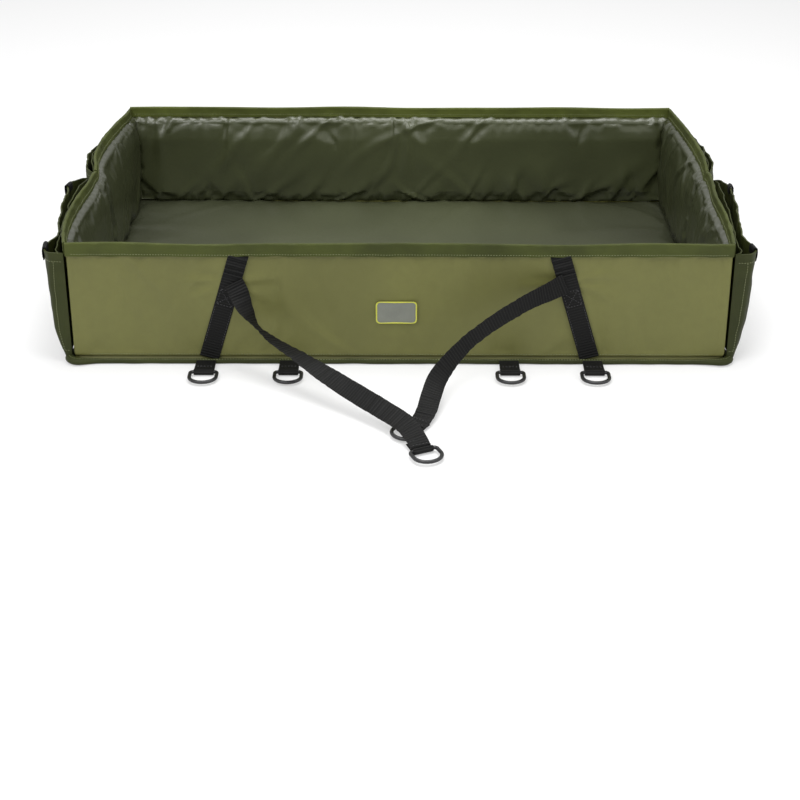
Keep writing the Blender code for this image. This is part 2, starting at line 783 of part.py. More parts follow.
def main():
    clear_scene()
    fold = add_pivot("floor_fold_pivot", (0, 0, FOLD_AXIS_Z))
    floor_half("rear", 1, None)
    floor_half("front", -1, fold)
    fold_strip(None)

    front_pivot = add_pivot("front_wall_pivot", (0, -INNER_D, LONG_SEAM), fold)
    back_pivot = add_pivot("back_wall_pivot", (0, INNER_D, LONG_SEAM))
    wall_pieces(Wall("front_wall", True, 1, -1, -HALF_L, HALF_L, LONG_SEAM), front_pivot, 22)
    wall_pieces(Wall("back_wall", True, 1, 1, -HALF_L, HALF_L, LONG_SEAM), back_pivot, 22)

    for side_x in (-1, 1):
        front_end = end_half(side_x, -1, fold)
        end_half(side_x, 1, None)
        word = "left" if side_x < 0 else "right"
        corner_tab(word + "_nose_tab", side_x, NOSE_TAB_SHARE, front_end)
        corner_tab(word + "_gusset_tab", side_x, GUSSET_TAB_SHARE, front_end)

    wall_strap("left_wall_strap", -1, front_pivot)
    wall_strap("right_wall_strap", 1, front_pivot)
    front_patch(front_pivot)

    places = (("left_outer", -OUTER_RING_X), ("left_inner", -INNER_RING_X),
              ("right_inner", INNER_RING_X), ("right_outer", OUTER_RING_X))
    for word, x in places:
        pivot = add_pivot(word + "_ring_pivot", (x, -RING_Y, RING_Z), fold)
        d_ring(word + "_ring", pivot)
        back = LOOP_REACH - LOOP_OUTER
        webbing_loop(word + "_loop", (x, -RING_Y, RING_Z), (0, -1, 0), back, fold)

    carry = (("left", LEFT_CARRY_ROUTE, LEFT_CARRY_WIDTHS),
             ("right", RIGHT_CARRY_ROUTE, RIGHT_CARRY_WIDTHS))
    for word, route, widths in carry:
        hinge = add_pivot(word + "_carry_pivot", (route[0][0], -STRAP_FACE, CARRY_HINGE_Z), front_pivot)
        strap = carry_strap(word + "_carry_strap", route, widths, hinge)
        aim = Vector(route[-1]) - Vector(route[-2])
        aim.z = 0.0
        aim.normalize()
        end = Vector(route[-1]) + aim * (LOOP_HOLE + SEWN_GAP)
        sew_loop(strap, end, aim, hinge)
        pivot = add_pivot(word + "_carry_ring_pivot", end, hinge)
        d_ring(word + "_carry_ring", pivot, aim)

    for side in (-1, 1):
        word = "left" if side < 0 else "right"
        axis_y = WELT_OUT + CLEAR + TAB_HEM / 2
        axis_z = CLEAR + TAB_HEM / 2
        riser = add_pivot(word + "_tab_pivot", (side * TAB_X, axis_y, axis_z))
        turn_y = axis_y + TAB_RISE
        tab_piece(word + "_closing_tab", side, WELT_OUT + CLEAR, turn_y - CLEAR / 2, riser)
        tip = add_pivot(word + "_tab_tip_pivot", (side * TAB_X, turn_y, CLEAR + TAB_HEM), riser)
        tab_piece(word + "_closing_tab_tip", side, turn_y + CLEAR / 2, turn_y + TAB_TIP, tip)
    bpy.context.view_layer.update()


main()
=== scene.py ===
"""Dresses the folding unhooking mat: sewn cloth, foam pads, webbing straps and plastic rings."""

import json
import math

import bmesh
import bpy
import numpy as np
from bpy.props import FloatProperty, FloatVectorProperty, PointerProperty
from bpy.types import Operator, Panel, PropertyGroup
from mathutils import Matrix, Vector


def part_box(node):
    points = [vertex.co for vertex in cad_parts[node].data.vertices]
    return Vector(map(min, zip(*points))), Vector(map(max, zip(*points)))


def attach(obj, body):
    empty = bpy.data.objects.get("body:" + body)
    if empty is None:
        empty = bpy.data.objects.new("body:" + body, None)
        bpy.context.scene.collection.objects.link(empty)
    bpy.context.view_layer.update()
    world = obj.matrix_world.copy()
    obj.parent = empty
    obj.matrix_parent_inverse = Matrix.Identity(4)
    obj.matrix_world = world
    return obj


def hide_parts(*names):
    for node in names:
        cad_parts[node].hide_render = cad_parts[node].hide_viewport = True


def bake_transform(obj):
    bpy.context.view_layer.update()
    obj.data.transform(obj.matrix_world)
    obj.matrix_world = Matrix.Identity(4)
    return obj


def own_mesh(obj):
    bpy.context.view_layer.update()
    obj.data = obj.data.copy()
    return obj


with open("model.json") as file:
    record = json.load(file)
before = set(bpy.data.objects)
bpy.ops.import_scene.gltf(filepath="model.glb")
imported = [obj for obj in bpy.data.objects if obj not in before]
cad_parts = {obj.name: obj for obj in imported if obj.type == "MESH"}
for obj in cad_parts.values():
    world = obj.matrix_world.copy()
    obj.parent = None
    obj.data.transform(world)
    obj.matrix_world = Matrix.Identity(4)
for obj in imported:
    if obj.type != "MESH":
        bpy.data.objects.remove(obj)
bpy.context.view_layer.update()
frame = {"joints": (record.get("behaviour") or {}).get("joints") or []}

bl_info = {
    "name": "Unhooking mat",
    "version": (1, 0, 0),
    "blender": (4, 5, 0),
    "location": "3D View > Sidebar > Mat",
    "description": "Dresses the folding unhooking mat with cloth, foam, webbing and rings",
    "category": "Object",
}

JOINTS = {joint["name"]: joint for joint in frame["joints"]}
HALF_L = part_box("front_wall_outer_cloth")[1].x
HALF_D = -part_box("front_wall_outer_cloth")[0].y
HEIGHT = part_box("front_wall_binding")[1].z
INNER_D = -JOINTS["front_wall_fold"]["pos_m"][1]
INNER_L = JOINTS["right_front_end_fold"]["pos_m"][0]
LONG_SEAM = JOINTS["front_wall_fold"]["pos_m"][2]
END_SEAM = JOINTS["right_front_end_fold"]["pos_m"][2]
FLOOR_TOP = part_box("rear_floor_liner")[1].z
PAD = HALF_D - INNER_D
PAD_TOP = HEIGHT - 0.0180
PANEL_FOOT = 0.0105
BINDING_DROP = 0.0180
OUTER_DROP = 0.0215
BINDING_FOOT = HEIGHT - OUTER_DROP
PANEL_TALL = HEIGHT - BINDING_DROP - PANEL_FOOT
FACE_INSET = 0.0006
TURNED_IN = 0.0098
STRAP_TOP_X = 0.2400
STRAP_SPREAD = 0.0450
STRAP_PULL_X = 0.2560
PULL_WIDE = 0.0180
STRIP_HALF = 0.0119
UP = np.array([0.0, 0.0, 1.0])
CLOTH = 0.0008
RING_ROD = 0.0056
RING_INSIDE = 0.0350
RING_DEPTH = 0.0340
RING_BEND = 0.0048
LOOP_WIDE = 0.0300
LOOP_THICK = 0.0014
LEFT_ROUTE = (
    (-0.249, -0.3292, 0.137), (-0.242, -0.3338, 0.123), (-0.231, -0.343, 0.099),
    (-0.215, -0.356, 0.078), (-0.187, -0.378, 0.064), (-0.146, -0.41, 0.052),
    (-0.102, -0.448, 0.04), (-0.054, -0.491, 0.03), (-0.018, -0.524, 0.024),
    (0.008, -0.552, 0.02), (0.023, -0.578, 0.013), (0.031, -0.596, 0.006))
LEFT_WIDTHS = (
    (0.96, 0.0, 0.27), (0.9, 0.3, 0.28), (0.62, 0.78, -0.01), (0.28, 0.83, -0.48),
    (0.51, 0.8, -0.31), (0.63, 0.78, -0.05), (0.67, 0.67, 0.34), (0.6, 0.56, 0.57),
    (0.64, 0.58, 0.5), (0.74, 0.54, 0.4), (0.86, 0.44, 0.16), (0.91, 0.41, 0.0))
RIGHT_ROUTE = (
    (0.249, -0.3304, 0.137), (0.24, -0.3352, 0.134), (0.222, -0.346, 0.129),
    (0.195, -0.36, 0.122), (0.155, -0.378, 0.105), (0.11, -0.396, 0.079), (0.079, -0.418, 0.056),
    (0.057, -0.444, 0.037), (0.046, -0.474, 0.022), (0.039, -0.5, 0.0115), (0.029, -0.523, 0.007),
    (0.0206, -0.535, 0.0056))
RIGHT_WIDTHS = (
    (0.5, -0.1, -0.86), (0.48, -0.1, -0.87), (0.4, 0.1, -0.91), (0.35, 0.25, -0.9),
    (0.5, 0.35, -0.79), (0.62, 0.45, -0.64), (0.76, 0.45, -0.47), (0.9, 0.35, -0.25),
    (0.97, 0.1, -0.1), (0.96, -0.2, -0.03), (0.88, -0.45, 0.0), (0.82, -0.57, 0.0))
GUSSET_RUN = (
    (0.0082, 0.0, 0.0), (0.0096, 0.5, 0.0), (0.0205, 0.88, 0.0), (0.058, 1.04, 0.02),
    (0.12, 0.95, 0.08), (0.2, 0.72, 0.2), (0.33, 0.8, 0.5), (0.52, 1.03, 0.85), (0.7, 1.14, 1.0),
    (0.8, 1.14, 1.0), (0.89, 1.0, 0.7), (0.96, 0.8, 0.4), (1.0, 0.0, 0.0))
GUSSET_REAR_RUN = (
    (0.0082, 0.0, 0.0), (0.09, 0.24, 0.0), (0.255, 0.6, 0.05), (0.49, 0.9, 0.25),
    (0.69, 0.9, 0.6), (0.8, 0.96, 0.8), (0.9, 0.98, 0.7), (0.965, 0.74, 0.3), (1.0, 0.0, 0.0))
LEFT_BOW = ((-0.325, 0.0), (-0.30, 0.30), (-0.242, 0.67), (-0.173, 0.74), (-0.114, 0.62),
            (-0.074, 0.45), (-0.02, 0.42), (0.0, 0.44), (0.025, 0.60), (0.05, 0.84),
            (0.085, 1.0), (0.145, 0.94), (0.205, 0.65), (0.243, 0.47), (0.29, 0.12), (0.325, 0.0))
RIGHT_BOW = ((-0.325, 0.0), (-0.267, 0.32), (-0.212, 0.45), (-0.161, 0.47), (-0.117, 0.46),
             (-0.07, 0.70), (-0.03, 0.82), (0.0, 0.80), (0.03, 0.90), (0.062, 1.0),
             (0.136, 0.95), (0.208, 0.66), (0.26, 0.38), (0.292, 0.20), (0.325, 0.0))


def length(name, description, default):
    return FloatProperty(name=name, description=description, default=default, min=0.0,
                         unit="LENGTH")


def colour(name, description, default):
    return FloatVectorProperty(name=name, description=description, default=default,
                               subtype="COLOR")


class MatSizes(PropertyGroup):
    """Sizes that shape the cloth and the webbing."""

    fold_height: length("Fold height", "Height of a liner's larger folds", 0.0036)
    slack: FloatProperty(
        name="Slack", description="Share by which the soft cloths are longer than their pads",
        default=0.045, min=0.0)
    pucker_height: length("Pucker height", "Height of the puckers along the seams", 0.0013)
    left_bow: length("Left bow", "How far the left end wall bows outwards at its top", 0.0230)
    right_bow: length("Right bow", "How far the right end wall bows outwards at its top", 0.0190)
    pad_swell: length("Pad swell", "How far the wall pads swell out below their tops", 0.0040)
    webbing_width: length("Webbing width", "Width of all the webbing", 0.0300)
    webbing_thick: length("Webbing thickness", "Thickness of all the webbing", 0.0016)
    stitch_pitch: FloatProperty(
        name="Stitch pitch", description="Distance from one stitch to the next",
        default=0.0042, min=0.001, unit="LENGTH")


class MatColours(PropertyGroup):
    """Colours of the cloths, the webbing and the rings."""

    outer: colour("Outer nylon", "Colour of the outer cloth", (0.138, 0.139, 0.036))
    binding: colour("Binding", "Colour of the binding, welt and gussets", (0.046, 0.056, 0.010))
    wall_liner: colour("Wall liner", "Colour of the walls' liner", (0.049, 0.056, 0.023))
    floor_liner: colour("Floor liner", "Colour of the floor's liner", (0.050, 0.056, 0.026))
    foam: colour("Foam", "Colour of the foam", (0.42, 0.42, 0.40))
    webbing: colour("Webbing", "Colour of the webbing", (0.0032, 0.0032, 0.0030))
    plastic: colour("Rings", "Colour of the plastic rings", (0.012, 0.012, 0.013))
    patch: colour("Patch", "Colour of the blank patch", (0.20, 0.21, 0.18))
    patch_edge: colour("Patch edge", "Colour of the patch's overlocked edge", (0.55, 0.56, 0.06))
    thread: colour("Thread", "Colour of the seams' thread", (0.20, 0.22, 0.10))


def sizes():
    return bpy.context.scene.mat_sizes


def colours():
    return bpy.context.scene.mat_colours


# Shaders


def step(operation, reflected=False):
    """A method of Wire that adds one Math node."""
    def method(self, *other):
        values = (*other, self) if reflected else (self, *other)
        return self.recipe.maths(operation, *values)

    return method


class Wire:
    """A shader socket that takes part in sums; each step adds its Math node."""

    __add__, __radd__ = step("ADD"), step("ADD", True)
    __sub__, __rsub__ = step("SUBTRACT"), step("SUBTRACT", True)
    __mul__, __rmul__ = step("MULTIPLY"), step("MULTIPLY", True)
    __truediv__ = step("DIVIDE")
    sine, size = step("SINE"), step("ABSOLUTE")

    def __init__(self, recipe, socket):
        self.recipe = recipe
        self.socket = socket


class Nodes:
    """The nodes of a material or of the world, each made by one method."""

    def __init__(self, owner):
        owner.use_nodes = True
        self.tree = owner.node_tree

    def feed(self, socket, value):
        if isinstance(value, Wire):
            self.tree.links.new(value.socket, socket)
        elif socket.type == "RGBA" and len(value) == 3:
            socket.default_value = (*value, 1.0)
        else:
            socket.default_value = value

    def node(self, kind, settings, values, output=0):
        """Any node: its type, its settings and the values or links of its sockets."""
        made = self.tree.nodes.new("ShaderNode" + kind)
        for key, value in settings.items():
            if key == "stops":
                ramp = made.color_ramp
                while len(ramp.elements) < len(value):
                    ramp.elements.new(0.5)
                for element, (place, grey) in zip(ramp.elements, value):
                    element.position = place
                    element.color = (grey, grey, grey, 1.0)
            else:
                setattr(made, key, value)
        for key, value in values.items():
            self.feed(made.inputs[key], value)
        return Wire(self, made.outputs[output])

    def maths(self, operation, *values):
        return self.node("Math", {"operation": operation}, dict(enumerate(values)))

    def glow_through(self, first, second, share=1.0):
        """Shows the second shader to the camera and in reflections, and the first to the rest."""
        camera, glossy, through = (self.node("LightPath", {}, {}, "Is " + kind + " Ray")
                                   for kind in ("Camera", "Glossy", "Transmission"))
        seen = camera + glossy + through
        return self.node("MixShader", {}, {0: seen * share, 1: Wire(self, first), 2: second})


class Recipe(Nodes):
    """A material made of nodes round one Principled shader."""

    def __init__(self, name, specular=0.5, **fixed):
        self.material = bpy.data.materials.new(name)
        super().__init__(self.material)
        self.shader = self.tree.nodes["Principled BSDF"]
        self.feed(self.shader.inputs["Specular IOR Level"], specular)
        for socket, value in fixed.items():
            self.feed(self.shader.inputs[socket.replace("_", " ").title()], value)

    def place(self):
        return self.node("TexCoord", {}, {}, "Object")

    def lay(self):
        """Distances along and across a length of webbing."""
        spread = self.node("UVMap", {"uv_map": "lay"}, {})
        return (self.node("SeparateXYZ", {}, {0: spread}, 0),
                self.node("SeparateXYZ", {}, {0: spread}, 1))

    def noise(self, scale, detail=2.0, rough=0.5, stretch=(1, 1, 1)):
        vector = self.node("VectorMath", {"operation": "MULTIPLY"}, {0: self.place(), 1: stretch})
        return self.node("TexNoise", {}, {"Vector": vector, "Scale": scale, "Detail": detail,
                                          "Roughness": rough})

    def ramp(self, value, *stops):
        return self.node("ValToRGB", {"stops": stops}, {0: value})

    def mix(self, factor, first, second):
        return self.node("Mix", {"data_type": "RGBA"}, {0: factor, 6: first, 7: second}, 2)

    def vary(self, value, start, end, base, low, high):
        """A colour that goes from one shade of it to another between two values."""
        return self.mix(self.ramp(value, (start, 0.0), (end, 1.0)), shade(base, low),
                        shade(base, high))

    def woven(self, period):
        """Threads that cross at right angles on any face that follows the axes."""
        total = 0.0
        for axis in range(3):
            line = self.node("SeparateXYZ", {}, {0: self.place()}, axis)
            total = (line * (2 * math.pi / period)).sine() + total
        return total

    def bump(self, height, distance, strength=1.0, below=None):
        values = {"Height": height, "Distance": distance, "Strength": strength}
        if below is not None:
            values["Normal"] = below
        return self.node("Bump", {}, values)

    def finish(self, colour=None, roughness=None, normal=None, coat=None):
        for socket, value in (("Base Color", colour), ("Roughness", roughness),
                              ("Normal", normal), ("Coat Weight", coat)):
            if value is not None:
                self.feed(self.shader.inputs[socket], value)
        return self.material


def shade(colour, share):
    return tuple(min(part * share, 1.0) for part in colour)


def outer_nylon():
    """Coated nylon: fine weave, soft crinkles and a satin shine that changes slowly."""
    base = colours().outer
    r = Recipe("outer nylon", specular=0.40)
    slow = r.noise(5.0, 3.0, stretch=(1, 1, 0.35))
    fine = r.noise(70.0, 4.0, 0.6)
    tint = r.vary(slow, 0.30, 0.70, base, 0.86, 1.12)
    tint = r.mix(r.ramp(fine, (0.35, 0.0), (0.75, 0.35)), tint, shade(base, 0.80))
    rough = 0.44 + 0.16 * slow + 0.05 * fine
    weave = r.bump(r.woven(0.0014), 0.00005, 0.5)
    crinkle = r.bump(r.noise(32.0, 4.0, 0.55, (1, 1, 0.6)), 0.0011, 0.55, weave)
    pleats = r.bump(r.noise(11.0, 2.0, 0.5, (1, 1, 0.30)), 0.0060, 0.55, crinkle)
    return r.finish(tint, rough, pleats)


def binding_nylon(name="binding nylon", share=1.0):
    """Dark ribbed tape and the gussets' cloth; a share above one paints it lighter, as painted
    light, and a share below one paints it darker, as painted shade.
    """
    base = shade(colours().binding, share)
    r = Recipe(name, specular=0.22)
    slow = r.noise(14.0, 3.0)
    fine = r.noise(160.0, 3.0, 0.6)
    tint = r.vary(slow, 0.32, 0.68, base, 0.78, 1.24)
    weave = r.bump(r.woven(0.0013), 0.00007, 0.6)
    crinkle = r.bump(r.noise(60.0, 4.0, 0.6) + 0.2 * fine, 0.0009, 0.6, weave)
    return r.finish(tint, 0.52 + 0.14 * fine, crinkle)


def liner_film(name, base, sheen, crinkle_scale, end_shade=0.0):
    """Soft cloth with a shiny coating that creases finely; the last argument darkens it towards
    the ends as painted shade.
    """
    r = Recipe(name, specular=0.50, coat_roughness=0.30)
    slow = r.noise(4.5, 2.0)
    fine = r.noise(110.0, 5.0, 0.62)
    tint = r.vary(slow, 0.30, 0.70, base, 0.86, 1.16)
    if end_shade:
        # Painted shade: the colour darkens towards the ends, where the end walls shade the floor.
        far = (r.node("SeparateXYZ", {}, {0: r.place()}, 0).size() - 0.10) / 0.38
        tint = r.mix(r.ramp(far, (0.0, 0.0), (1.0, end_shade)), tint, (0.0, 0.0, 0.0))
    rough = sheen + 0.10 * slow + 0.10 * fine
    creases = r.ramp((r.noise(crinkle_scale, 3.0, 0.5) - 0.5).size(), (0.0, 0.0), (0.07, 1.0))
    normal = r.bump(creases, 0.0005, 0.20)
    normal = r.bump(fine, 0.00030, 0.5, normal)
    return r.finish(tint, rough, normal, coat=0.14 + 0.18 * slow)


def wall_film(name="wall liner", share=1.0):
    # A share below one paints the liner darker, as painted shade.
    return liner_film(name, shade(colours().wall_liner, share), 0.24, 17.0)


def floor_film():
    # The floor liner gets painted shade towards the end walls.
    return liner_film("floor liner", colours().floor_liner, 0.36, 9.0, 0.46)


def foam_cells():
    base = colours().foam
    r = Recipe("closed cell foam", specular=0.30)
    cells = r.node("TexVoronoi", {}, {"Vector": r.place(), "Scale": 900.0}, "Distance")
    tint = r.mix(cells, shade(base, 0.80), shade(base, 1.10))
    return r.finish(tint, 0.80 + 0.10 * cells, r.bump(cells, 0.0004, 0.7))


def webbing_weave():
    """Ribs across the webbing that change step from one row of warp to the next; their tops are
    painted lighter and their grooves darker, as painted highlight and painted shade over the real
    bumps.
    """
    base = colours().webbing
    r = Recipe("webbing", specular=0.20)
    along, across = r.lay()
    ribs = (along * (2 * math.pi / 0.0046)).sine()
    edge = (across * (2 * math.pi / 0.0040)).sine() * 0.12 + 0.88
    height = (ribs * 0.5 + 0.5) * edge
    lint = r.noise(420.0, 3.0, 0.7)
    # Painted highlight on the rib tops and painted shade in the grooves.
    tint = r.vary(height, 0.35, 0.95, base, 0.5, 3.0)
    tint = r.mix(r.ramp(lint, (0.58, 0.0), (0.85, 0.30)), tint, (0.020, 0.020, 0.019))
    return r.finish(tint, 0.58 + 0.18 * lint, r.bump(height + 0.15 * lint, 0.0005, 0.8))


def ring_plastic():
    base = colours().plastic
    r = Recipe("ring plastic", specular=0.50)
    mottle = r.noise(55.0, 3.0)
    grain = r.noise(900.0, 2.0)
    tint = r.mix(mottle, shade(base, 0.8), shade(base, 1.5))
    return r.finish(tint, 0.30 + 0.16 * mottle, r.bump(grain, 0.0001, 0.3))


def patch_weave():
    base = colours().patch
    r = Recipe("patch cloth", specular=0.36)
    tint = r.mix(r.noise(60.0, 3.0), shade(base, 0.82), shade(base, 1.14))
    return r.finish(tint, 0.60 + 0.1 * r.noise(90.0), r.bump(r.woven(0.0011), 0.00012, 0.7))


def thread_twist(name, base):
    r = Recipe(name, specular=0.45, sheen_weight=0.2)
    fuzz = r.noise(1500.0, 2.0)
    tint = r.mix(fuzz, shade(base, 0.70), shade(base, 1.20))
    return r.finish(tint, 0.45 + 0.1 * fuzz, r.bump(fuzz, 0.0001, 0.5))


MATERIALS = {}
MAKERS = {
    "outer_nylon": outer_nylon,
    "binding_nylon": binding_nylon,
    "wall_liner": wall_film,
    "floor_liner": floor_film,
    "closed_cell_foam": foam_cells,
    "webbing": webbing_weave,
    "ring_plastic": ring_plastic,
    "patch_cloth": patch_weave,
    # The end walls' liner is the walls' liner painted darker, as painted shade.
    "end liner": lambda: wall_film("end liner", 0.58),
    # The back wall's binding is the binding painted lighter, as painted light.
    "back binding painted lighter": lambda: binding_nylon("back binding painted lighter", 1.50),
    # The gussets and the welt use the binding cloth painted darker, as painted shade.
    "gusset cloth": lambda: binding_nylon("gusset cloth", 0.60),
    "thread": lambda: thread_twist("seam thread", colours().thread),
    "black thread": lambda: thread_twist("black thread", (0.030, 0.030, 0.032)),
    "patch edge": lambda: thread_twist("patch edge thread", colours().patch_edge),
}


def material(name):
    if name not in MATERIALS:
        MATERIALS[name] = MAKERS[name]()
    return MATERIALS[name]


# Meshes


def clamp(value):
    return np.clip(value, 0, 1)


def lattice(first, second):
    return np.meshgrid(first, second, indexing="ij")


def spots(x, y, z):
    """Points from their coordinates, any of which may be one number for all."""
    return np.stack(np.broadcast_arrays(np.asarray(x, float), y, z), -1)


def lengths(line):
    """How far along a line each of its points lies."""
    return np.concatenate([[0], np.cumsum(np.linalg.norm(np.diff(line, axis=0), axis=1))])


def quads(index):
    """The faces between the rows and columns of a grid of corner numbers."""
    return np.stack([index[:-1, :-1], index[1:, :-1], index[1:, 1:], index[:-1, 1:]],
                    -1).reshape(-1, 4)


def distances(grid):
    """How far each point of a grid lies along its rows and its columns, in metres."""
    down = np.linalg.norm(np.diff(grid, axis=0), axis=2).mean(axis=1)
    over = np.linalg.norm(np.diff(grid, axis=1), axis=2).mean(axis=0)
    u, v = lattice(np.concatenate([[0], np.cumsum(down)]),
                   np.concatenate([[0], np.cumsum(over)]))
    return np.stack([u, v], -1).reshape(-1, 2)


def make(name, parts, look):
    """A mesh object from its points, faces and lay, with its faces turned outwards."""
    points, faces, lay = parts
    mesh = bpy.data.meshes.new(name)
    mesh.from_pydata(np.asarray(points, float).tolist(), [], [list(map(int, f)) for f in faces])
    bm = bmesh.new()
    bm.from_mesh(mesh)
    bmesh.ops.recalc_face_normals(bm, faces=bm.faces)
    bm.to_mesh(mesh)
    bm.free()
    if lay is not None:
        corner = np.empty(len(mesh.loops), int)
        mesh.loops.foreach_get("vertex_index", corner)
        layer = mesh.uv_layers.new(name="lay")
        layer.data.foreach_set("uv", np.asarray(lay, np.float32)[corner].ravel())
    mesh.shade_smooth()
    mesh.set_sharp_from_angle(angle=math.radians(60))
    mesh.materials.append(material(look))
    piece = bpy.data.objects.new(name, mesh)
    bpy.context.scene.collection.objects.link(piece)
    return piece


def shell_parts(outer, inner):
    """A closed skin between two grids of points."""
    rows, columns = outer.shape[:2]
    count = rows * columns
    index = np.arange(count).reshape(rows, columns)
    faces = [quads(index), quads(index + count)[:, ::-1]]
    for edge in (index[0], index[-1][::-1], index[:, 0][::-1], index[:, -1]):
        faces.append(np.stack([edge[1:], edge[:-1], edge[:-1] + count, edge[1:] + count], -1))
    points = np.concatenate([outer.reshape(-1, 3), inner.reshape(-1, 3)])
    return points, np.concatenate(faces), np.tile(distances(outer), (2, 1))


def shell(name, outer, inner, look):
    return make(name, shell_parts(outer, inner), look)


def normals(grid):
    """Unit normals of a grid of points."""
    down = np.gradient(grid, axis=0)
    over = np.gradient(grid, axis=1)
    cross = np.cross(down, over)
    return cross / np.maximum(np.linalg.norm(cross, axis=2, keepdims=True), 1e-12)


def unit(vectors):
    return vectors / np.maximum(np.linalg.norm(vectors, axis=-1, keepdims=True), 1e-12)


def smooth_line(points, steps):
    """Points at even steps along a smooth curve through the given ones."""
    route = np.asarray(points, float)
    count = len(route)
    t = (count - 1) * np.arange(steps + 1) / steps
    k = np.minimum(t.astype(int), count - 2)
    f = (t - k)[:, None]
    p0, p1, p2 = route[np.maximum(k - 1, 0)], route[k], route[k + 1]
    p3 = route[np.minimum(k + 2, count - 1)]
    cubic = (2 * p1 + (p2 - p0) * f + (2 * p0 - 5 * p1 + 4 * p2 - p3) * f ** 2
             + (3 * p1 - p0 - 3 * p2 + p3) * f ** 3)
    return cubic / 2


def ribbon_parts(line, wides, width, thick, ruck=0.0):
    """Webbing along a line: its face, its back and its slightly thinner selvedges."""
    line = np.asarray(line, float)
    tangent = unit(np.gradient(line, axis=0))
    wide = np.broadcast_to(np.asarray(wides, float), line.shape)
    wide = unit(wide - tangent * (wide * tangent).sum(-1, keepdims=True))
    out = unit(np.cross(tangent, wide))
    across = np.array([-0.5, -0.46, -0.30, 0.0, 0.30, 0.46, 0.5]) * width
    half = np.array([0.25, 0.47, 0.5, 0.5, 0.5, 0.47, 0.25]) * thick
    steps = lengths(line)
    ribs = 0.00026 * np.sin(2 * math.pi * steps / 0.0046)
    bands = ruck * wave(steps, steps * 0, 5, 0.013, 9)
    middle = line[:, None] + wide[:, None] * across[None, :, None]
    middle = middle + (out * bands[:, None])[:, None] * (1 - (across / width) ** 2)[None, :, None]
    lift = out[:, None] * (half[None, :] + ribs[:, None] * (half > 0.4 * thick))[:, :, None]
    return shell_parts(middle + lift, middle - lift)


def tube_parts(line, across, ups, radius_a, radius_b, sides=12, closed=False):
    """A round or oval tube along a line, with its two cross directions given."""
    turn = 2 * math.pi * np.arange(sides) / sides
    line, across, ups = np.broadcast_arrays(*(np.asarray(x, float) for x in (line, across, ups)))
    count = len(line)
    radius_a = np.broadcast_to(radius_a, count)[:, None]
    radius_b = np.broadcast_to(radius_b, count)[:, None]
    rings = (line[:, None] + across[:, None] * (radius_a * np.cos(turn))[:, :, None]
             + ups[:, None] * (radius_b * np.sin(turn))[:, :, None])
    index = np.arange(count * sides).reshape(count, sides)
    index = np.concatenate([index, index[:, :1]], axis=1)
    if closed:
        index = np.concatenate([index, index[:1]])
    faces = quads(index).tolist()
    if not closed:
        faces += [list(range(sides)), list(range((count - 1) * sides, count * sides))]
    points = rings.reshape(-1, 3)
    steps = lengths(line)
    lay = np.stack([np.repeat(steps, sides), (turn * radius_a).ravel()], -1)
    return points, faces, lay


def stitch_parts(line, outs, pitch, long=0.0026, radius=0.00042):
    """A row of stitches along a line: short bowed threads that dip into the cloth."""
    line, outs = np.broadcast_arrays(np.asarray(line, float), np.asarray(outs, float))
    steps = lengths(line)
    count = max(int(steps[-1] / pitch), 1)
    middle = (np.arange(count) + 0.5) * steps[-1] / count

    def along(values, at):
        return np.stack([np.interp(at, steps, values[:, i]) for i in range(3)], -1)

    lifts = np.array([-0.8, 0.1, 0.5, 0.1, -0.8])[:, None] * radius
    thick = np.array([0.5, 1.0, 1.0, 1.0, 0.5]) * radius
    parts = []
    for centre in middle:
        at = np.clip(centre + np.array([-0.5, -0.3, 0.0, 0.3, 0.5]) * long, 0, steps[-1])
        place, out = along(line, at), unit(along(outs, at))
        side = unit(np.cross(unit(place[-1] - place[0]), out))
        parts.append(tube_parts(place + out * lifts, out, side, thick, thick, 5))
    return join(parts)


def join(parts):
    """Several (points, faces, lay) as one."""
    points, faces, lays, first = [], [], [], 0
    for some, more, lay in parts:
        points.append(some)
        faces += [[corner + first for corner in face] for face in more]
        lays.append(lay)
        first += len(some)
    return np.concatenate(points), faces, np.concatenate(lays)


def webbing(name, line, wides, width, thick, ruck=0.0):
    """A length of webbing as one object."""
    return make(name, ribbon_parts(line, wides, width, thick, ruck), "webbing")


def fix(piece, body, node):
    """The piece goes with a body and stands for one solid."""
    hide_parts(node)
    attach(piece, body)
    return piece


def stitches(name, rows, body, look="thread"):
    """All the stitch rows of one piece: (line, outward directions) pairs."""
    parts = [stitch_parts(line, outs, sizes().stitch_pitch) for line, outs in rows]
    points, faces, _ = join(parts)
    piece = make(name, (points, faces, None), look)
    if body is not None:
        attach(piece, body)
    return piece


# Cloth forms


def wave(u, v, seed, size, count=7, stretch=1.0):
    """Smooth noise of about plus or minus one, with features of about one size."""
    rng = np.random.default_rng(seed)
    total = np.zeros(np.broadcast(u, v).shape)
    for _ in range(count):
        angle, pace = rng.uniform(0, math.pi), rng.uniform(0.6, 1.5)
        k, phase = 2 * math.pi / size * pace, rng.uniform(0, 2 * math.pi)
        total = total + np.sin(k * (u * math.cos(angle) + v * stretch * math.sin(angle)) + phase)
    return total / math.sqrt(count)


def folds(u, v, marks):
    """Folds from a seam: each starts narrow, spreads and fades, with a dip beside its ridge."""
    total = np.zeros(np.broadcast(u, v).shape)
    for u0, v0, u1, v1, width, height in marks:
        du, dv = u1 - u0, v1 - v0
        long = math.hypot(du, dv)
        t = ((u - u0) * du + (v - v0) * dv) / long ** 2
        bend = 0.10 * long * np.sin(math.pi * clamp(t)) * math.sin(1e4 * u0)
        off = ((u - u0) * dv - (v - v0) * du) / long + bend
        spread = width * (0.35 + 0.95 * clamp(t))
        side = off / spread
        fade = clamp((1 - t) / 0.55) ** 1.3 * clamp((t + 0.06) / 0.12)
        total = total + height * fade * (np.exp(-side ** 2) - 0.55 * np.exp(-(side - 1.5) ** 2))
    return total


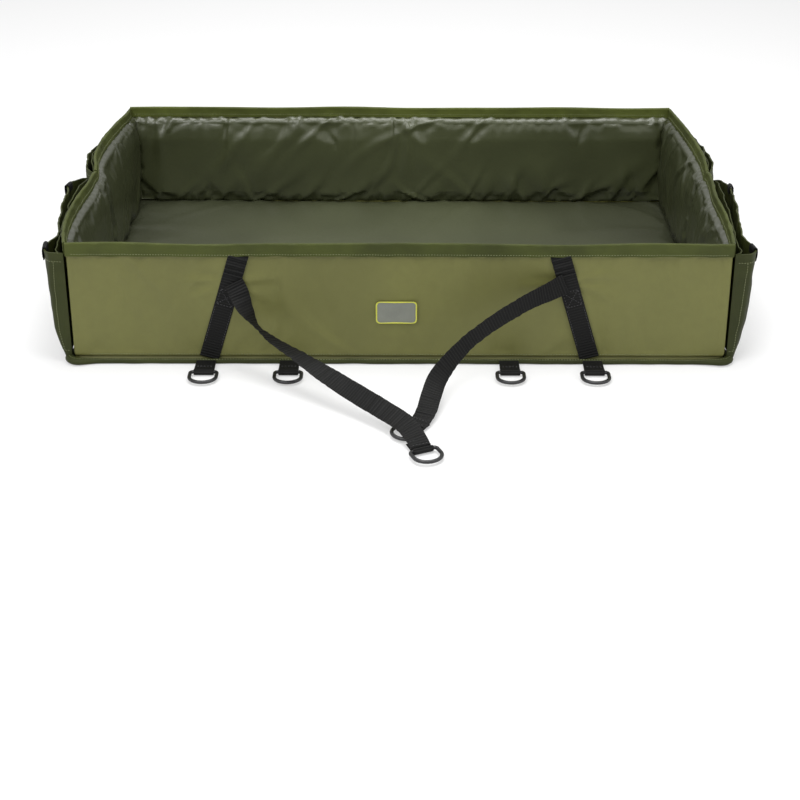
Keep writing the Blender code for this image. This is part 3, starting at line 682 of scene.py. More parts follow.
def seam_marks(seed, start, end, span, count, slant, top_share=0.6, height=1.0):
    """Places of the folds that run from a wall's two long seams."""
    rng = np.random.default_rng(seed)
    marks = []
    for i in range(count):
        u0 = start + (end - start) * (i + rng.uniform(0.1, 0.9)) / count
        from_top = rng.random() < top_share
        reach = span * rng.uniform(0.35, 0.98)
        lean = rng.normal(slant, 0.45) * reach
        v0, v1 = (span, span - reach) if from_top else (0.0, reach * 0.8)
        marks.append((u0, v0, u0 + lean, v1, rng.uniform(0.007, 0.017),
                      height * rng.uniform(0.45, 1.0)))
    return marks


def rounded_edge(distance, radius):
    """How far a surface has dropped where it turns over an edge."""
    inside = np.clip(radius - distance, 0, radius)
    return radius - np.sqrt(np.maximum(radius ** 2 - inside ** 2, 0))


def settle(face, out, slack, pressure, cap):
    """Moves a grid of cloth, held at its border, to where slack and pressure bring it."""
    scene = bpy.context.scene
    rows, columns = face.shape[:2]
    index = np.arange(rows * columns).reshape(rows, columns)
    faces = quads(index)
    if (normals(face) * out).sum() < 0:
        faces = faces[:, ::-1]
    mesh = bpy.data.meshes.new("settling")
    mesh.from_pydata(face.reshape(-1, 3).tolist(), [], faces.tolist())
    piece = bpy.data.objects.new("settling", mesh)
    scene.collection.objects.link(piece)
    border = np.unique(np.concatenate([index[0], index[-1], index[:, 0], index[:, -1]]))
    group = piece.vertex_groups.new(name="held")
    group.add(border.tolist(), 1.0, "REPLACE")
    modifier = piece.modifiers.new("Cloth", "CLOTH")
    cloth = dict(vertex_group_mass="held", quality=6, mass=0.12, tension_stiffness=24.0,
                 compression_stiffness=24.0, shear_stiffness=8.0, bending_stiffness=0.25,
                 air_damping=2.0, shrink_min=-slack, use_pressure=True,
                 uniform_pressure_force=pressure)
    for setting, value in cloth.items():
        setattr(modifier.settings, setting, value)
    modifier.settings.effector_weights.gravity = 0.0
    modifier.collision_settings.use_collision = False
    modifier.point_cache.frame_start = 1
    modifier.point_cache.frame_end = 20
    for step in range(1, 21):
        scene.frame_set(step)
    settled = piece.evaluated_get(bpy.context.evaluated_depsgraph_get())
    place = np.empty(rows * columns * 3)
    settled.data.vertices.foreach_get("co", place)
    bpy.data.objects.remove(piece)
    scene.frame_set(1)
    moved = place.reshape(face.shape) - face
    rise = (moved * out).sum(-1, keepdims=True)
    slide = moved - rise * out
    reach = np.linalg.norm(slide, axis=-1, keepdims=True)
    slide = slide * np.minimum(1.0, 0.6 * cap / np.maximum(reach, 1e-9))
    return face + slide + out * np.clip(rise, -0.0008, cap)


class Side:
    """A wall: u runs along it, n inward from its outer face and h up from the ground."""

    def __init__(self, name, foot_body, side_x, side_y, start, end, seed):
        self.name = name
        self.foot_body = foot_body
        self.long_wall = side_x == 0
        self.side_x = side_x
        self.side_y = side_y
        self.start = start
        self.end = end
        self.low, self.high = sorted((start, end))
        self.span = self.high - self.low
        self.seed = seed
        self.seam = LONG_SEAM if self.long_wall else END_SEAM
        self.reach = HALF_D if self.long_wall else HALF_L
        self.out = np.array([side_x, side_y * self.long_wall, 0.0])
        self.bow = np.zeros((2, 3))
        if not self.long_wall:
            shares, reach = ((LEFT_BOW, sizes().left_bow) if side_x < 0
                             else (RIGHT_BOW, sizes().right_bow))
            self.bow = smooth_line([(y, share * reach, 0.0) for y, share in shares], 240)

    def bowed(self, y, h):
        """How far an end wall leans outwards at a place and height."""
        share = np.clip(h / HEIGHT, 0, 1.05)
        return np.interp(y, self.bow[:, 0], self.bow[:, 1]) * share ** 1.4

    def at(self, u, n, h):
        share = np.clip(h / HEIGHT, 0, 1.02)
        if self.long_wall:
            sway = 0.0012 * wave(u, h * 0, self.seed + 5, 0.33) * share ** 2
            return spots(u, self.side_y * (HALF_D - n + sway), h)
        notch = 0.0045 * np.exp(-(u / 0.014) ** 2) * share ** 6
        return spots(self.side_x * (HALF_L - n + self.bowed(u, h)), u, h - notch)

    def low_blend(self, piece, low, high):
        """The piece's place is baked into its mesh."""
        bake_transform(piece)

    def press(self, piece):
        """The piece gets its own copy of its mesh."""
        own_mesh(piece)

    def pinch(self, piece):
        """The piece goes with its wall and gets its own copy of its mesh."""
        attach(piece, self.name)
        self.press(piece)

    def flatten(self, piece, depth):
        """The piece goes with its wall; an end wall's piece gets its own copy of its mesh."""
        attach(piece, self.name)
        if not self.long_wall:
            self.press(piece)

    def hang(self, name, face, back, look, depth, heights, low, high, whole=False):
        """A wall's cloth: whole, or split into a foot and an upper part that goes with the wall.
        """
        if whole:
            piece = shell(name, face, back, look)
            self.low_blend(piece, low, high)
            return [piece]
        row = int(np.searchsorted(heights, high + 0.0004))
        foot = shell(name + "_foot", face[:, :row + 1], back[:, :row + 1], look)
        self.low_blend(foot, low, high)
        piece = shell(name, face[:, row:], back[:, row:], look)
        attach(piece, self.name)
        self.press(piece)
        return [piece, foot]


def all_sides():
    gap = 0.0002
    reach = INNER_D - 0.0008
    found = [Side("front_wall", "front_half", 0, -1, -HALF_L, HALF_L, 11),
             Side("back_wall", "rear_half", 0, 1, -HALF_L, HALF_L, 23)]
    for i, (word, side_x) in enumerate((("left", -1), ("right", 1))):
        for j, (end, side_y) in enumerate((("front", -1), ("rear", 1))):
            found.append(Side(f"{word}_{end}_end", end + "_half", side_x, side_y,
                              side_y * gap, side_y * reach, 31 + 10 * i + 5 * j))
    return found


def panel_surface(side, lift):
    """The outer cloth's face: a plan line with turned ends, and rows from foot to binding."""
    steps = 170 if side.long_wall else 60
    low, high = side.low + 0.0008, side.high - 0.0008
    radius = 0.0032
    turn = np.radians(np.linspace(180, 90, 6))
    left_u = low + radius + radius * np.cos(turn)
    left_n = FACE_INSET + radius - radius * np.sin(turn)
    middle = np.linspace(low + radius, high - radius, steps)[1:-1]
    u = np.concatenate([[low] * 2, left_u, middle, (low + high - left_u)[::-1], [high] * 2])
    n = np.concatenate([[TURNED_IN, 0.0060], left_n, np.full(len(middle), FACE_INSET),
                        left_n[::-1], [0.0060, TURNED_IN]])
    tuck = np.array([0.0, 0.0008, 0.0020, 0.0036, 0.0056, 0.0080])
    rows = np.concatenate([PANEL_FOOT + tuck, np.linspace(PANEL_FOOT + 0.012, HEIGHT - 0.008, 34)])
    uu, hh = lattice(u, rows)
    nn = np.repeat(n[:, None], len(rows), axis=1)
    nn = np.minimum(nn, np.interp(hh, [PAD_TOP - 0.012, PAD_TOP - 0.005], [TURNED_IN, 0.0026]))
    corner = rounded_edge(hh - PANEL_FOOT, 0.0070) * 0.45
    middle_u = (low + high) / 2
    if side.long_wall:
        uu = middle_u + (uu - middle_u) * (1 - corner / ((high - low) / 2))
    from_end = np.minimum(uu - low, high - uu)
    foot = rounded_edge(hh - PANEL_FOOT, 0.0034)
    calm = clamp(from_end / 0.012) * clamp((hh - PANEL_FOOT) / 0.010)
    calm = calm * clamp((BINDING_FOOT + 0.005 - hh) / 0.005)
    slow = wave(uu, hh, side.seed, 0.085, stretch=0.22) * 0.5 + 0.5
    marks = seam_marks(side.seed + 1, low, high, PANEL_TALL, int(side.span * 26), 0.0, 0.75, 0.8)
    if side.name == "front_wall":
        pulled = PANEL_TALL - 0.045
        for x in (-STRAP_PULL_X, STRAP_PULL_X):
            for across, down in ((-0.080, 0.048), (-0.092, 0.004), (0.078, 0.040),
                                 (0.095, -0.012)):
                marks.append((x, pulled, x + across, pulled - down, 0.008, 1.0))
    creases = folds(uu, hh - PANEL_FOOT, marks)
    pucker = wave(uu, hh * 0, side.seed + 2, 0.016) * (
        np.exp(-(BINDING_FOOT - hh).clip(0) / 0.011)
        + 0.7 * np.exp(-(hh - PANEL_FOOT) / 0.009))
    dent = 0.0027 * slow - 0.0024 * creases - 0.0015 * pucker
    nn = nn + foot + np.clip(dent, -0.0008, 0.0036) * calm + lift
    return side.at(uu, nn, hh), uu, hh


def outer_panels(side):
    face, _, rows = panel_surface(side, 0.0)
    back, _, _ = panel_surface(side, CLOTH)
    back[0], back[-1] = face[0], face[-1]
    back[0] += (face[1] - face[0]) * 0.02
    bend = (LONG_SEAM - 0.008, LONG_SEAM + 0.008) if side.long_wall else (
        END_SEAM - 0.0055, END_SEAM + 0.0065)
    piece = side.hang(side.name + "_outer_panel", face, back, "outer_nylon", FACE_INSET, rows[0],
                      *bend, whole=side.long_wall)[0]
    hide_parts(side.name + "_outer_cloth")
    u = np.linspace(side.start, side.end, 120)[3:-3]
    line = side.at(u, 0.0004 + float(rounded_edge(0.0042, 0.0034)), PANEL_FOOT + 0.0042)
    sewn = stitches(side.name + "_foot_stitches", [(line, side.out)], None)
    side.low_blend(sewn, *bend)


def liner_profile(low):
    """The liner's way up the pad and over its shoulder: places, directions and lengths."""
    tall, deep = 0.0110, PAD + sizes().pad_swell - 0.0036
    foot, top = PAD - 0.0016, PAD_TOP - 0.0004
    straight = np.linspace(low, top - tall, 34)[:-1]
    swell = sizes().pad_swell * (1 - np.exp(-(straight - low) / 0.045))
    turn = np.radians(np.linspace(0, 90, 14))
    n = np.concatenate([foot + swell, 0.0020 + deep * np.cos(turn)])
    h = np.concatenate([straight, top - tall + tall * np.sin(turn)])
    wn = np.concatenate([np.ones(len(straight)), np.cos(turn)])
    wh = np.concatenate([np.zeros(len(straight)), np.sin(turn)])
    s = np.concatenate([[0], np.cumsum(np.hypot(np.diff(n), np.diff(h)))])
    return n, h, wn, wh, s


def liner_height(side, u, s, span, low, high):
    """How far the liner stands off its foam before it settles."""
    depth = sizes().fold_height
    pucker = sizes().pucker_height * (1.0 if side.long_wall else 0.35)
    slant = -0.35 if side.long_wall else 0.25
    marks = seam_marks(side.seed, low, high, span, int(side.span * 26), slant)
    marks += seam_marks(side.seed + 3, low, high, span, int(side.span * 22), 0.4, 0.15, 0.7)
    creases = folds(u, s, marks)
    top = np.exp(-np.clip(span - s, 0, None) / 0.012)
    foot = np.exp(-s / 0.012)
    gathers = wave(u, s * 0, side.seed + 7, 0.017, 9) * top + wave(u, s * 0, side.seed + 8,
                                                                    0.024, 9) * 0.8 * foot
    crown = clamp(np.minimum(s, span - s) / 0.022) ** 0.6
    slow = wave(u, s, side.seed + 9, 0.10) * 0.0008
    ends = clamp(np.minimum(u - low, high - u) / 0.010)
    height = depth * creases * crown ** 0.3 + pucker * gathers + slow * crown
    return np.clip(height, -0.0012, 0.0055) * (0.25 + 0.75 * ends)


def wall_liners(side):
    low_h = FLOOR_TOP - 0.0014
    low, high = side.low, side.high
    steps = 260 if side.long_wall else 90
    n, h, wn, wh, s = liner_profile(low_h)
    u = np.linspace(low + 0.0004, high - 0.0004, steps)
    uu, ss = lattice(u, s)
    span = s[-1] - 0.004
    lift = liner_height(side, uu, ss, span, low, high)
    lift = lift - rounded_edge(np.minimum(uu - low, high - uu), 0.0016) * clamp(
        (span - ss) / 0.014)
    lift = lift - rounded_edge(ss, 0.0030) * 0.6
    face = side.at(uu, n[None] + wn[None] * lift, h[None] + wh[None] * lift)
    out = (-side.out * wn[:, None] + UP * wh[:, None])[None]
    out = np.broadcast_to(out, face.shape)
    cap = 0.0060 * np.clip((PAD_TOP - h) / 0.040, 0.40, 1.0)[None, :, None]
    face = settle(face, out, sizes().slack, 4.0, cap)
    bend = (LONG_SEAM - 0.007, LONG_SEAM + 0.007) if side.long_wall else (
        END_SEAM - 0.0016, END_SEAM + 0.0060)
    # End walls use the liner painted darker, as painted shade.
    look = "wall_liner" if side.long_wall else "end liner"
    pieces = side.hang(side.name + "_lining", face, face - out * CLOTH, look, PAD - 0.0042, h,
                       *bend)
    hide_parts(side.name + "_liner")


def binding_line(side, steps):
    """The tape's section over the top edge at each place along a wall."""
    middle, reach, thick = FACE_INSET, 0.0022, 0.0010
    turn = np.radians(np.linspace(180, 0, 9))
    n = np.concatenate([[middle - reach] * 5, middle + reach * np.cos(turn),
                        middle + reach + np.array([0.0, 0.0002, 0.0010])])
    h = np.concatenate([np.linspace(BINDING_FOOT, HEIGHT - reach - 0.002, 5),
                        HEIGHT - reach - thick / 2 + reach * np.sin(turn),
                        np.linspace(HEIGHT - reach - 0.002, PAD_TOP - 0.0003, 3)])
    wn = np.concatenate([-np.ones(5), np.cos(turn), np.ones(3)])
    wh = np.concatenate([np.zeros(5), np.sin(turn), np.zeros(3)])
    low, high = side.low, side.high
    if not side.long_wall:
        low, high = low - 0.0066 * (side.side_y < 0), high + 0.0066 * (side.side_y > 0)
    u = np.linspace(low + 0.0001, high - 0.0001, steps)
    uu, row = lattice(u, np.arange(len(n)))
    ripple = 0.00045 * wave(uu, row * 0.0011, side.seed + 13, 0.030, 9)
    sag = 0.0010 * wave(uu, row * 0, side.seed + 14, 0.26) - 0.0006
    edge = np.where(row == 0, 0.0005 * wave(uu, row * 0, side.seed + 15, 0.04), 0.0)
    lift = ripple * np.where((row > 0) & (row < len(n) - 1), 1.0, 0.3)
    share = clamp((h[None] - BINDING_FOOT) / OUTER_DROP)
    return uu, n[None] + wn[None] * lift, h[None] + sag * share + edge, wn, wh, thick


def bindings(side):
    steps = 260 if side.long_wall else 90
    uu, n, h, wn, wh, thick = binding_line(side, steps)
    face = side.at(uu, n + wn[None] * thick / 2, h + wh[None] * thick / 2)
    back = side.at(uu, n - wn[None] * thick / 2, h - wh[None] * thick / 2)
    # The back wall's binding is painted lighter, as painted light.
    look = "back binding painted lighter" if side.name == "back_wall" else "binding_nylon"
    piece = shell(side.name + "_edge_binding", face, back, look)
    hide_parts(side.name + "_binding")
    side.flatten(piece, FACE_INSET)
    line = face[:, 1] * 0.75 + face[:, 0] * 0.25
    other = face[:, -2] * 0.7 + face[:, -1] * 0.3
    sewn = stitches(side.name + "_binding_stitches",
                    [(line[2:-2], side.out), (other[2:-2], -side.out)], None)
    side.flatten(sewn, FACE_INSET)


def slab(name, at, node, spans, depths, heights):
    """A foam sheet with rounded edges: at places it, spans, depths and heights bound it."""
    u = np.concatenate([spans[0] + np.array([0, 0.0008, 0.0022]),
                        np.linspace(spans[0] + 0.006, spans[1] - 0.006, 40),
                        spans[1] - np.array([0.0022, 0.0008, 0])])
    h = np.concatenate([heights[0] + np.array([0, 0.0008, 0.0022]),
                        np.linspace(heights[0] + 0.005, heights[1] - 0.005, 14),
                        heights[1] - np.array([0.0022, 0.0008, 0])])
    uu, hh = lattice(u, h)
    edge = np.minimum(np.minimum(uu - spans[0], spans[1] - uu),
                      np.minimum(hh - heights[0], heights[1] - hh))
    round_off = rounded_edge(edge, 0.0024)
    piece = shell(name, at(uu, depths[0] + round_off, hh), at(uu, depths[1] - round_off, hh),
                  "closed_cell_foam")
    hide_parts(node)
    return piece


def wall_foam(side):
    low, high = side.low, side.high
    piece = slab(side.name + "_foam_slab", side.at, side.name + "_foam",
                 (low + 0.0030, high - 0.0030), (0.0048, PAD - 0.0040),
                 (side.seam + 0.0020, PAD_TOP - 0.0080))
    side.flatten(piece, 0.5 * PAD)


def floor_foam(word, side_y):
    reach = HALF_L - 0.0070
    near, far = 0.0130, HALF_D - 0.0070

    def at(u, n, h):
        return spots(u, side_y * h, n)

    piece = slab(word + "_floor_slab", at, word + "_floor_foam", (-reach, reach),
                 (0.0024, FLOOR_TOP - 0.0042), (near, far))
    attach(piece, word + "_half")


def floor_cover():
    """One soft sheet over both floor halves, with a shallow crease at the fold."""
    half_x, half_y = INNER_L + 0.0085, INNER_D + 0.0052
    x = np.linspace(-half_x, half_x, 150)
    y = np.linspace(-half_y, half_y, 98)
    xx, yy = lattice(x, y)
    rng = np.random.default_rng(71)
    marks = []
    for i in range(26):
        edge = i % 4
        a = rng.uniform(-0.9, 0.9)
        start = [(a * half_x, -half_y), (a * half_x, half_y), (-half_x, a * half_y),
                 (half_x, a * half_y)][edge]
        angle = [90, -90, 0, 180][edge] + rng.uniform(-50, 50)
        reach = rng.uniform(0.12, 0.34)
        marks.append((*start, start[0] + reach * math.cos(math.radians(angle)),
                      start[1] + reach * math.sin(math.radians(angle)),
                      rng.uniform(0.012, 0.028), rng.uniform(0.4, 1.0)))
    rise = 0.0013 * folds(xx, yy, marks)
    rise += 0.0007 * wave(xx, yy, 72, 0.28)
    edge = np.minimum(half_x - abs(xx), half_y - abs(yy))
    rise += 0.0016 * clamp(edge / 0.05) ** 0.5
    rise -= 0.0007 * np.exp(-(yy / 0.006) ** 2)
    rise -= rounded_edge(edge, 0.0030) * 0.6
    top = spots(xx, yy, FLOOR_TOP - 0.0016 + rise)
    top = settle(top, UP, 0.3 * sizes().slack, 2.0, 0.0036)
    piece = shell("floor_cover", top, top - CLOTH * UP, "floor_liner")
    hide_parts("front_floor_liner", "rear_floor_liner")
    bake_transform(piece)


def rim_path(side_y, offset, steps=22, radius=0.012, near=0.0120):
    """A line round three sides of a floor half, drawn in by an offset."""
    x, y = HALF_L - offset, HALF_D - offset
    r = max(min(radius - offset, y - near - 0.001), 0.0006)
    turn = np.radians(np.linspace(0, 90, 9))
    first = [(-x, b) for b in np.linspace(near, max(y - r, near + 0.0004), steps)[:-1]]
    corner = [(-x + r - r * math.cos(a), y - r + r * math.sin(a)) for a in turn]
    across = [(a, y) for a in np.linspace(-x + r, x - r, 3 * steps)[1:-1]]
    back = [(-a, b) for a, b in reversed(corner)]
    last = [(-a, b) for a, b in reversed(first)]
    line = np.array(first + corner + across + back + last)
    line[:, 1] *= side_y
    return line


def base_skin(word, side_y):
    """The cloth under one floor half, turned up round its three outer edges."""
    offsets = [0.0050, 0.0048, 0.0034, -0.0006, -0.0006, 0.0030, 0.0085, 0.014, 0.03, 0.06,
               0.10, 0.14, 0.18, 0.22, 0.26, 0.29, 0.3124]
    heights = [0.0160, 0.0110, 0.0072, 0.0050, 0.0030, 0.0008] + [0.0] * 11
    rows = []
    for offset, height in zip(offsets, heights):
        line = rim_path(side_y, offset)
        x, y = line[:, 0], line[:, 1]
        dent = 0.0009 * (wave(x, y, 81 + side_y, 0.11) * 0.5 + 0.5).clip(0, 1.3)
        dent = dent * (offset > 0.004)
        rows.append(spots(x, y, height + dent))
    face = np.stack(rows, axis=0)
    middle = np.array([0.0, side_y * 0.15, 0.05])
    inward = unit(middle - face) * np.array([1.0, 1.0, 0.3])
    lift = np.where(np.arange(len(rows))[:, None, None] > 5, 0.0010 * UP,
                    inward * 0.0010)
    fix(shell(word + "_base", face, face + lift, "outer_nylon"), word + "_half",
        word + "_base_cloth")


def welts(word, side_y):
    """The stitched roll of cloth that stands out round one floor half."""
    line = rim_path(side_y, -0.0028, 40, 0.010, 0.0010)
    x, y = line[:, 0], line[:, 1]
    tangent = unit(np.gradient(line, axis=0))
    out = np.stack([-tangent[:, 1], tangent[:, 0]], -1) * side_y
    out *= np.where((out * line).sum(1) < 0, -1, 1)[:, None]
    near = np.hypot(abs(x) - HALF_L, abs(y) - HALF_D)
    ear = np.exp(-(near / 0.026) ** 2)
    ripple = 0.0004 * wave(x, y, 91 + side_y, 0.035, 9)
    place = np.column_stack([line + out * (0.0048 * ear + ripple)[:, None],
                             0.0042 + 0.0016 * ear + 0.0003 * wave(x, y, 93, 0.09)])
    across = np.column_stack([out, np.zeros(len(out))])
    parts = tube_parts(place, across, UP, 0.0038 + 0.0040 * ear, 0.0042 + 0.0016 * ear, 14)
    # The welt uses the binding cloth painted darker, as painted shade.
    fix(make(word + "_welt", parts, "gusset cloth"), word + "_half", word + "_floor_welt")
    sewn = place + across * 0.0016 + UP * (0.0039 + 0.0016 * ear)[:, None]
    stitches(word + "_welt_stitches", [(sewn[3:-3], UP + 0.3 * across[3:-3])], word + "_half")


def hinge_strip():
    """The cloth hinge between the floor halves."""
    x = np.linspace(-HALF_L + 0.002, HALF_L - 0.002, 120)
    y = np.linspace(-STRIP_HALF, STRIP_HALF, 31)
    xx, yy = lattice(x, y)
    lift = 0.0002 + 0.0002 * wave(xx, yy, 95, 0.05)
    low = spots(xx, yy, lift)
    piece = shell("hinge_strip", low, low + 0.0009 * UP, "outer_nylon")
    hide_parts("fold_strip")
    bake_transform(piece)


GUSSET_LENGTH = 0.3150
GUSSET_NOSE = 0.0300
GUSSET_TOP = HEIGHT - BINDING_DROP - 0.0003
GUSSET_FOOT = 0.0050


def gusset_run(side, steps):
    """The gusset's run: distance from the corner, stand-off, top and foot."""
    run = smooth_line(GUSSET_RUN if side.side_y < 0 else GUSSET_REAR_RUN, steps)
    d = GUSSET_LENGTH * run[:, 0]
    stand = GUSSET_NOSE * run[:, 1].clip(0)
    top = GUSSET_TOP + 0.0160 * run[:, 2].clip(0, 1)
    foot = GUSSET_FOOT + (GUSSET_TOP - GUSSET_FOOT) * 0.45 * run[:, 0]
    return d, stand, top, foot


def gusset_ply(side, reach, thick, seed, steps=130, rows=26):
    """One ply of a gusset, as its outer and inner faces."""
    d, stand, top, foot = gusset_run(side, steps)
    share = np.linspace(0, 1, rows)
    hh = foot[:, None] + (top - foot)[:, None] * share[None]
    lean = 0.28 + 0.72 * (1 - clamp(1 - hh / GUSSET_TOP) ** 3.2)
    dd = np.repeat(d[:, None], rows, axis=1)
    bow = side.bowed(side.side_y * (HALF_D - dd), hh)
    off = stand[:, None] * lean
    off = 0.0026 + bow + (np.maximum(off, bow + 0.35 * off) - bow) * reach
    calm = clamp(stand / (0.4 * GUSSET_NOSE))[:, None]
    off = off + calm * (0.0017 * wave(dd, hh, seed, 0.055, stretch=0.35)
                        + 0.0007 * wave(dd, hh, seed + 1, 0.020, stretch=0.5))
    hh = hh + calm * 0.0012 * wave(dd, hh * 0, seed + 2, 0.05) * share[None]
    middle = spots(side.side_x * (HALF_L + off), side.side_y * (HALF_D - dd), hh)
    out = normals(middle)
    out *= np.where((out[..., 0] * side.side_x).mean() < 0, -1, 1)
    hem = np.exp(-(np.minimum(share, 1 - share) / 0.05) ** 2)[None, :, None]
    half = thick / 2 * (1 + 0.35 * hem)
    return middle + out * half, middle - out * half, middle, out


def gussets(side):
    word = side.name.replace("_end", "_gusset")
    face, back, middle, out = gusset_ply(side, 1.0, 0.0018, side.seed + 40)
    # The gusset's plies use the binding cloth painted darker, as painted shade.
    piece = shell(word + "_cloth", face, back, "gusset cloth")
    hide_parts(word)
    side.pinch(piece)
    rows = [(face[4:-4, 23], out[4:-4, 23]), (face[4:-4, 2], out[4:-4, 2]),
            (face[14, 2:-2], out[14, 2:-2])]
    side.pinch(stitches(word + "_stitches", rows, None))
    inner_face, inner_back, _, _ = gusset_ply(side, 0.30, 0.0012, side.seed + 50, 60, 16)
    side.pinch(shell(word + "_inner_ply", inner_face, inner_back, "gusset cloth"))
    if side.side_y < 0:
        for tab, place in ((word.replace("_front_gusset", "_nose_tab"), 0.088),
                           (word.replace("_front_gusset", "_gusset_tab"), 0.78)):
            corner_pull(side, tab, place, middle, out)


def corner_pull(side, name, place, middle, out):
    """A short webbing pull folded over the gusset's top hem and sewn to its outer face."""
    d = HALF_D - side.side_y * middle[:, -1, 1]
    row = int(np.argmin(abs(d - GUSSET_LENGTH * place)))
    line, normal = middle[row], out[row]
    top, tall = line[-1], 0.0190
    run = unit(middle[row + 1, -1] - middle[row - 1, -1])
    outward = unit(normal[-1])
    lift = 0.0022
    path = [top - UP * tall + outward * lift,
            top - UP * tall * 0.5 + outward * (lift + 0.0016), top + outward * (lift + 0.0012),
            top + UP * 0.0030 + outward * 0.0006, top + UP * 0.0012 - outward * (lift + 0.0003),
            top - UP * 0.0090 - outward * (lift + 0.0004)]
    piece = webbing(name + "_webbing", smooth_line(path, 36), run, PULL_WIDE, LOOP_THICK)
    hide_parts(name)
    side.pinch(piece)


def strap_face(h):
    """How far from the middle the front wall's straps lie at a height."""
    share = (HEIGHT - BINDING_DROP - h) / (HEIGHT - BINDING_DROP - LONG_SEAM)
    return STRAP_TOP_X + STRAP_SPREAD * share


def wall_straps(word, side_x):
    """Webbing sewn down the front wall; its top length lies in soft cross folds."""
    high, low = BINDING_FOOT + 0.0060, PANEL_FOOT - 0.0010
    h = np.linspace(high, low, 400)
    share = ((h - 0.138) / 0.010).clip(0, 1) * ((BINDING_FOOT - h) / 0.003).clip(0, 1)
    ruck = 0.0020 * (np.sin(h * 2 * math.pi / 0.0086 + 2.0 * np.sin(h * 130)) * 0.5 + 0.5) * share
    off = 0.0010 + ruck - 0.0016 * ((h - HEIGHT + OUTER_DROP + 0.001) / 0.003).clip(0, 1)
    line = spots(side_x * strap_face(h), -HALF_D - off, h)
    run = unit(np.array([side_x * (strap_face(low) - strap_face(high)), 0, low - high]))
    wide = np.cross(run, [0, 1, 0])
    piece = webbing(word + "_wall_webbing", line, wide, sizes().webbing_width,
                    sizes().webbing_thick)
    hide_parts(word + "_wall_strap")
    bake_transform(piece)
    rows = []

    def spot(h_at, across):
        return np.array([side_x * strap_face(h_at), -HALF_D - 0.0022, h_at]) + wide * across

    reach = 0.0115
    top, foot = 0.1220, 0.0980
    box = [spot(top, -reach), spot(top, reach), spot(foot, reach), spot(foot, -reach)]
    for a, b in ((0, 1), (1, 2), (2, 3), (3, 0), (0, 2), (1, 3)):
        rows.append((np.linspace(box[a], box[b], 12), (0, -1, 0)))
    for across in (-0.0128, 0.0128):
        line = np.array([spot(v, across) for v in np.linspace(0.094, 0.034, 30)])
        rows.append((line, (0, -1, 0)))
    stitches(word + "_strap_stitches", rows, "front_wall", "black thread")


def bar_wrap(centre, ahead, tail):
    """Webbing that comes in flat, turns round a bar and goes back, with its hem."""
    centre, ahead = np.asarray(centre, float), unit(np.asarray(ahead, float))
    radius = RING_ROD / 2 + 0.0006 + LOOP_THICK / 2
    turn = np.radians(np.linspace(100, -100, 22))
    path = [centre - ahead * tail + UP * 0.0009, centre - ahead * (0.6 * tail) + UP * 0.0014,
            centre - ahead * 0.0068 + UP * 0.0024]
    path += [centre + ahead * radius * math.cos(a) + UP * radius * math.sin(a) for a in turn]
    path += [centre - ahead * 0.0068 - UP * 0.0024, centre - ahead * (0.6 * tail) - UP * 0.0012,
             centre - ahead * tail - UP * 0.0009]
    return smooth_line(path, 90), np.cross(UP, ahead)


def ring_mesh(name, node, centre, ahead):
    """A moulded D-ring with a round rod."""
    ahead = unit(np.asarray(ahead, float))
    across = np.cross(UP, ahead)
    half, bend = RING_INSIDE / 2 + RING_ROD / 2, RING_BEND
    rise = half * 0.9
    turn = np.radians(np.linspace(90, 0, 7))
    plan = [(half - bend + bend * math.cos(a), -bend + bend * math.sin(a)) for a in turn]
    for a in np.radians(np.linspace(0, 180, 33)):
        plan.append((half * math.cos(a), rise - RING_DEPTH - rise * math.sin(a)))
    plan += [(-a, b) for a, b in reversed(plan[:7])]
    plan = plan + [(a, 0.0) for a in np.linspace(-half + bend, half - bend, 10)[1:-1]]
    plan = np.array(plan)
    tangent = unit(np.roll(plan, -1, axis=0) - np.roll(plan, 1, axis=0))
    normal = np.stack([tangent[:, 1], -tangent[:, 0]], -1)
    line = np.asarray(centre) - plan[:, :1] * across - plan[:, 1:] * ahead
    sideways = -normal[:, :1] * across - normal[:, 1:] * ahead
    parts = tube_parts(line, sideways, UP, RING_ROD / 2, RING_ROD / 2, 16, True)
    return fix(make(name, parts, "ring_plastic"), node, node)


def base_ring(word):
    """A D-ring on its webbing loop at the front edge."""
    joint = JOINTS[word + "_ring_swivel"]
    centre = np.array(joint["pos_m"])
    ahead = np.array([0.0, -1.0, 0.0])
    line, wide = bar_wrap(centre, ahead, -centre[1] - HALF_D - 0.0060)
    fix(webbing(word + "_webbing_loop", line, wide, LOOP_WIDE, LOOP_THICK), "front_half",
        word + "_loop")
    hem = centre + [0, 0.0115, 0.0031]
    rows = [(spots(np.linspace(-0.0125, 0.0125, 10) + hem[0], hem[1] + shift,
                   hem[2] - 0.12 * shift), UP) for shift in (0.0, 0.0035)]
    stitches(word + "_loop_stitches", rows, "front_half", "black thread")
    ring_mesh(word + "_dee", word + "_ring", centre, ahead)


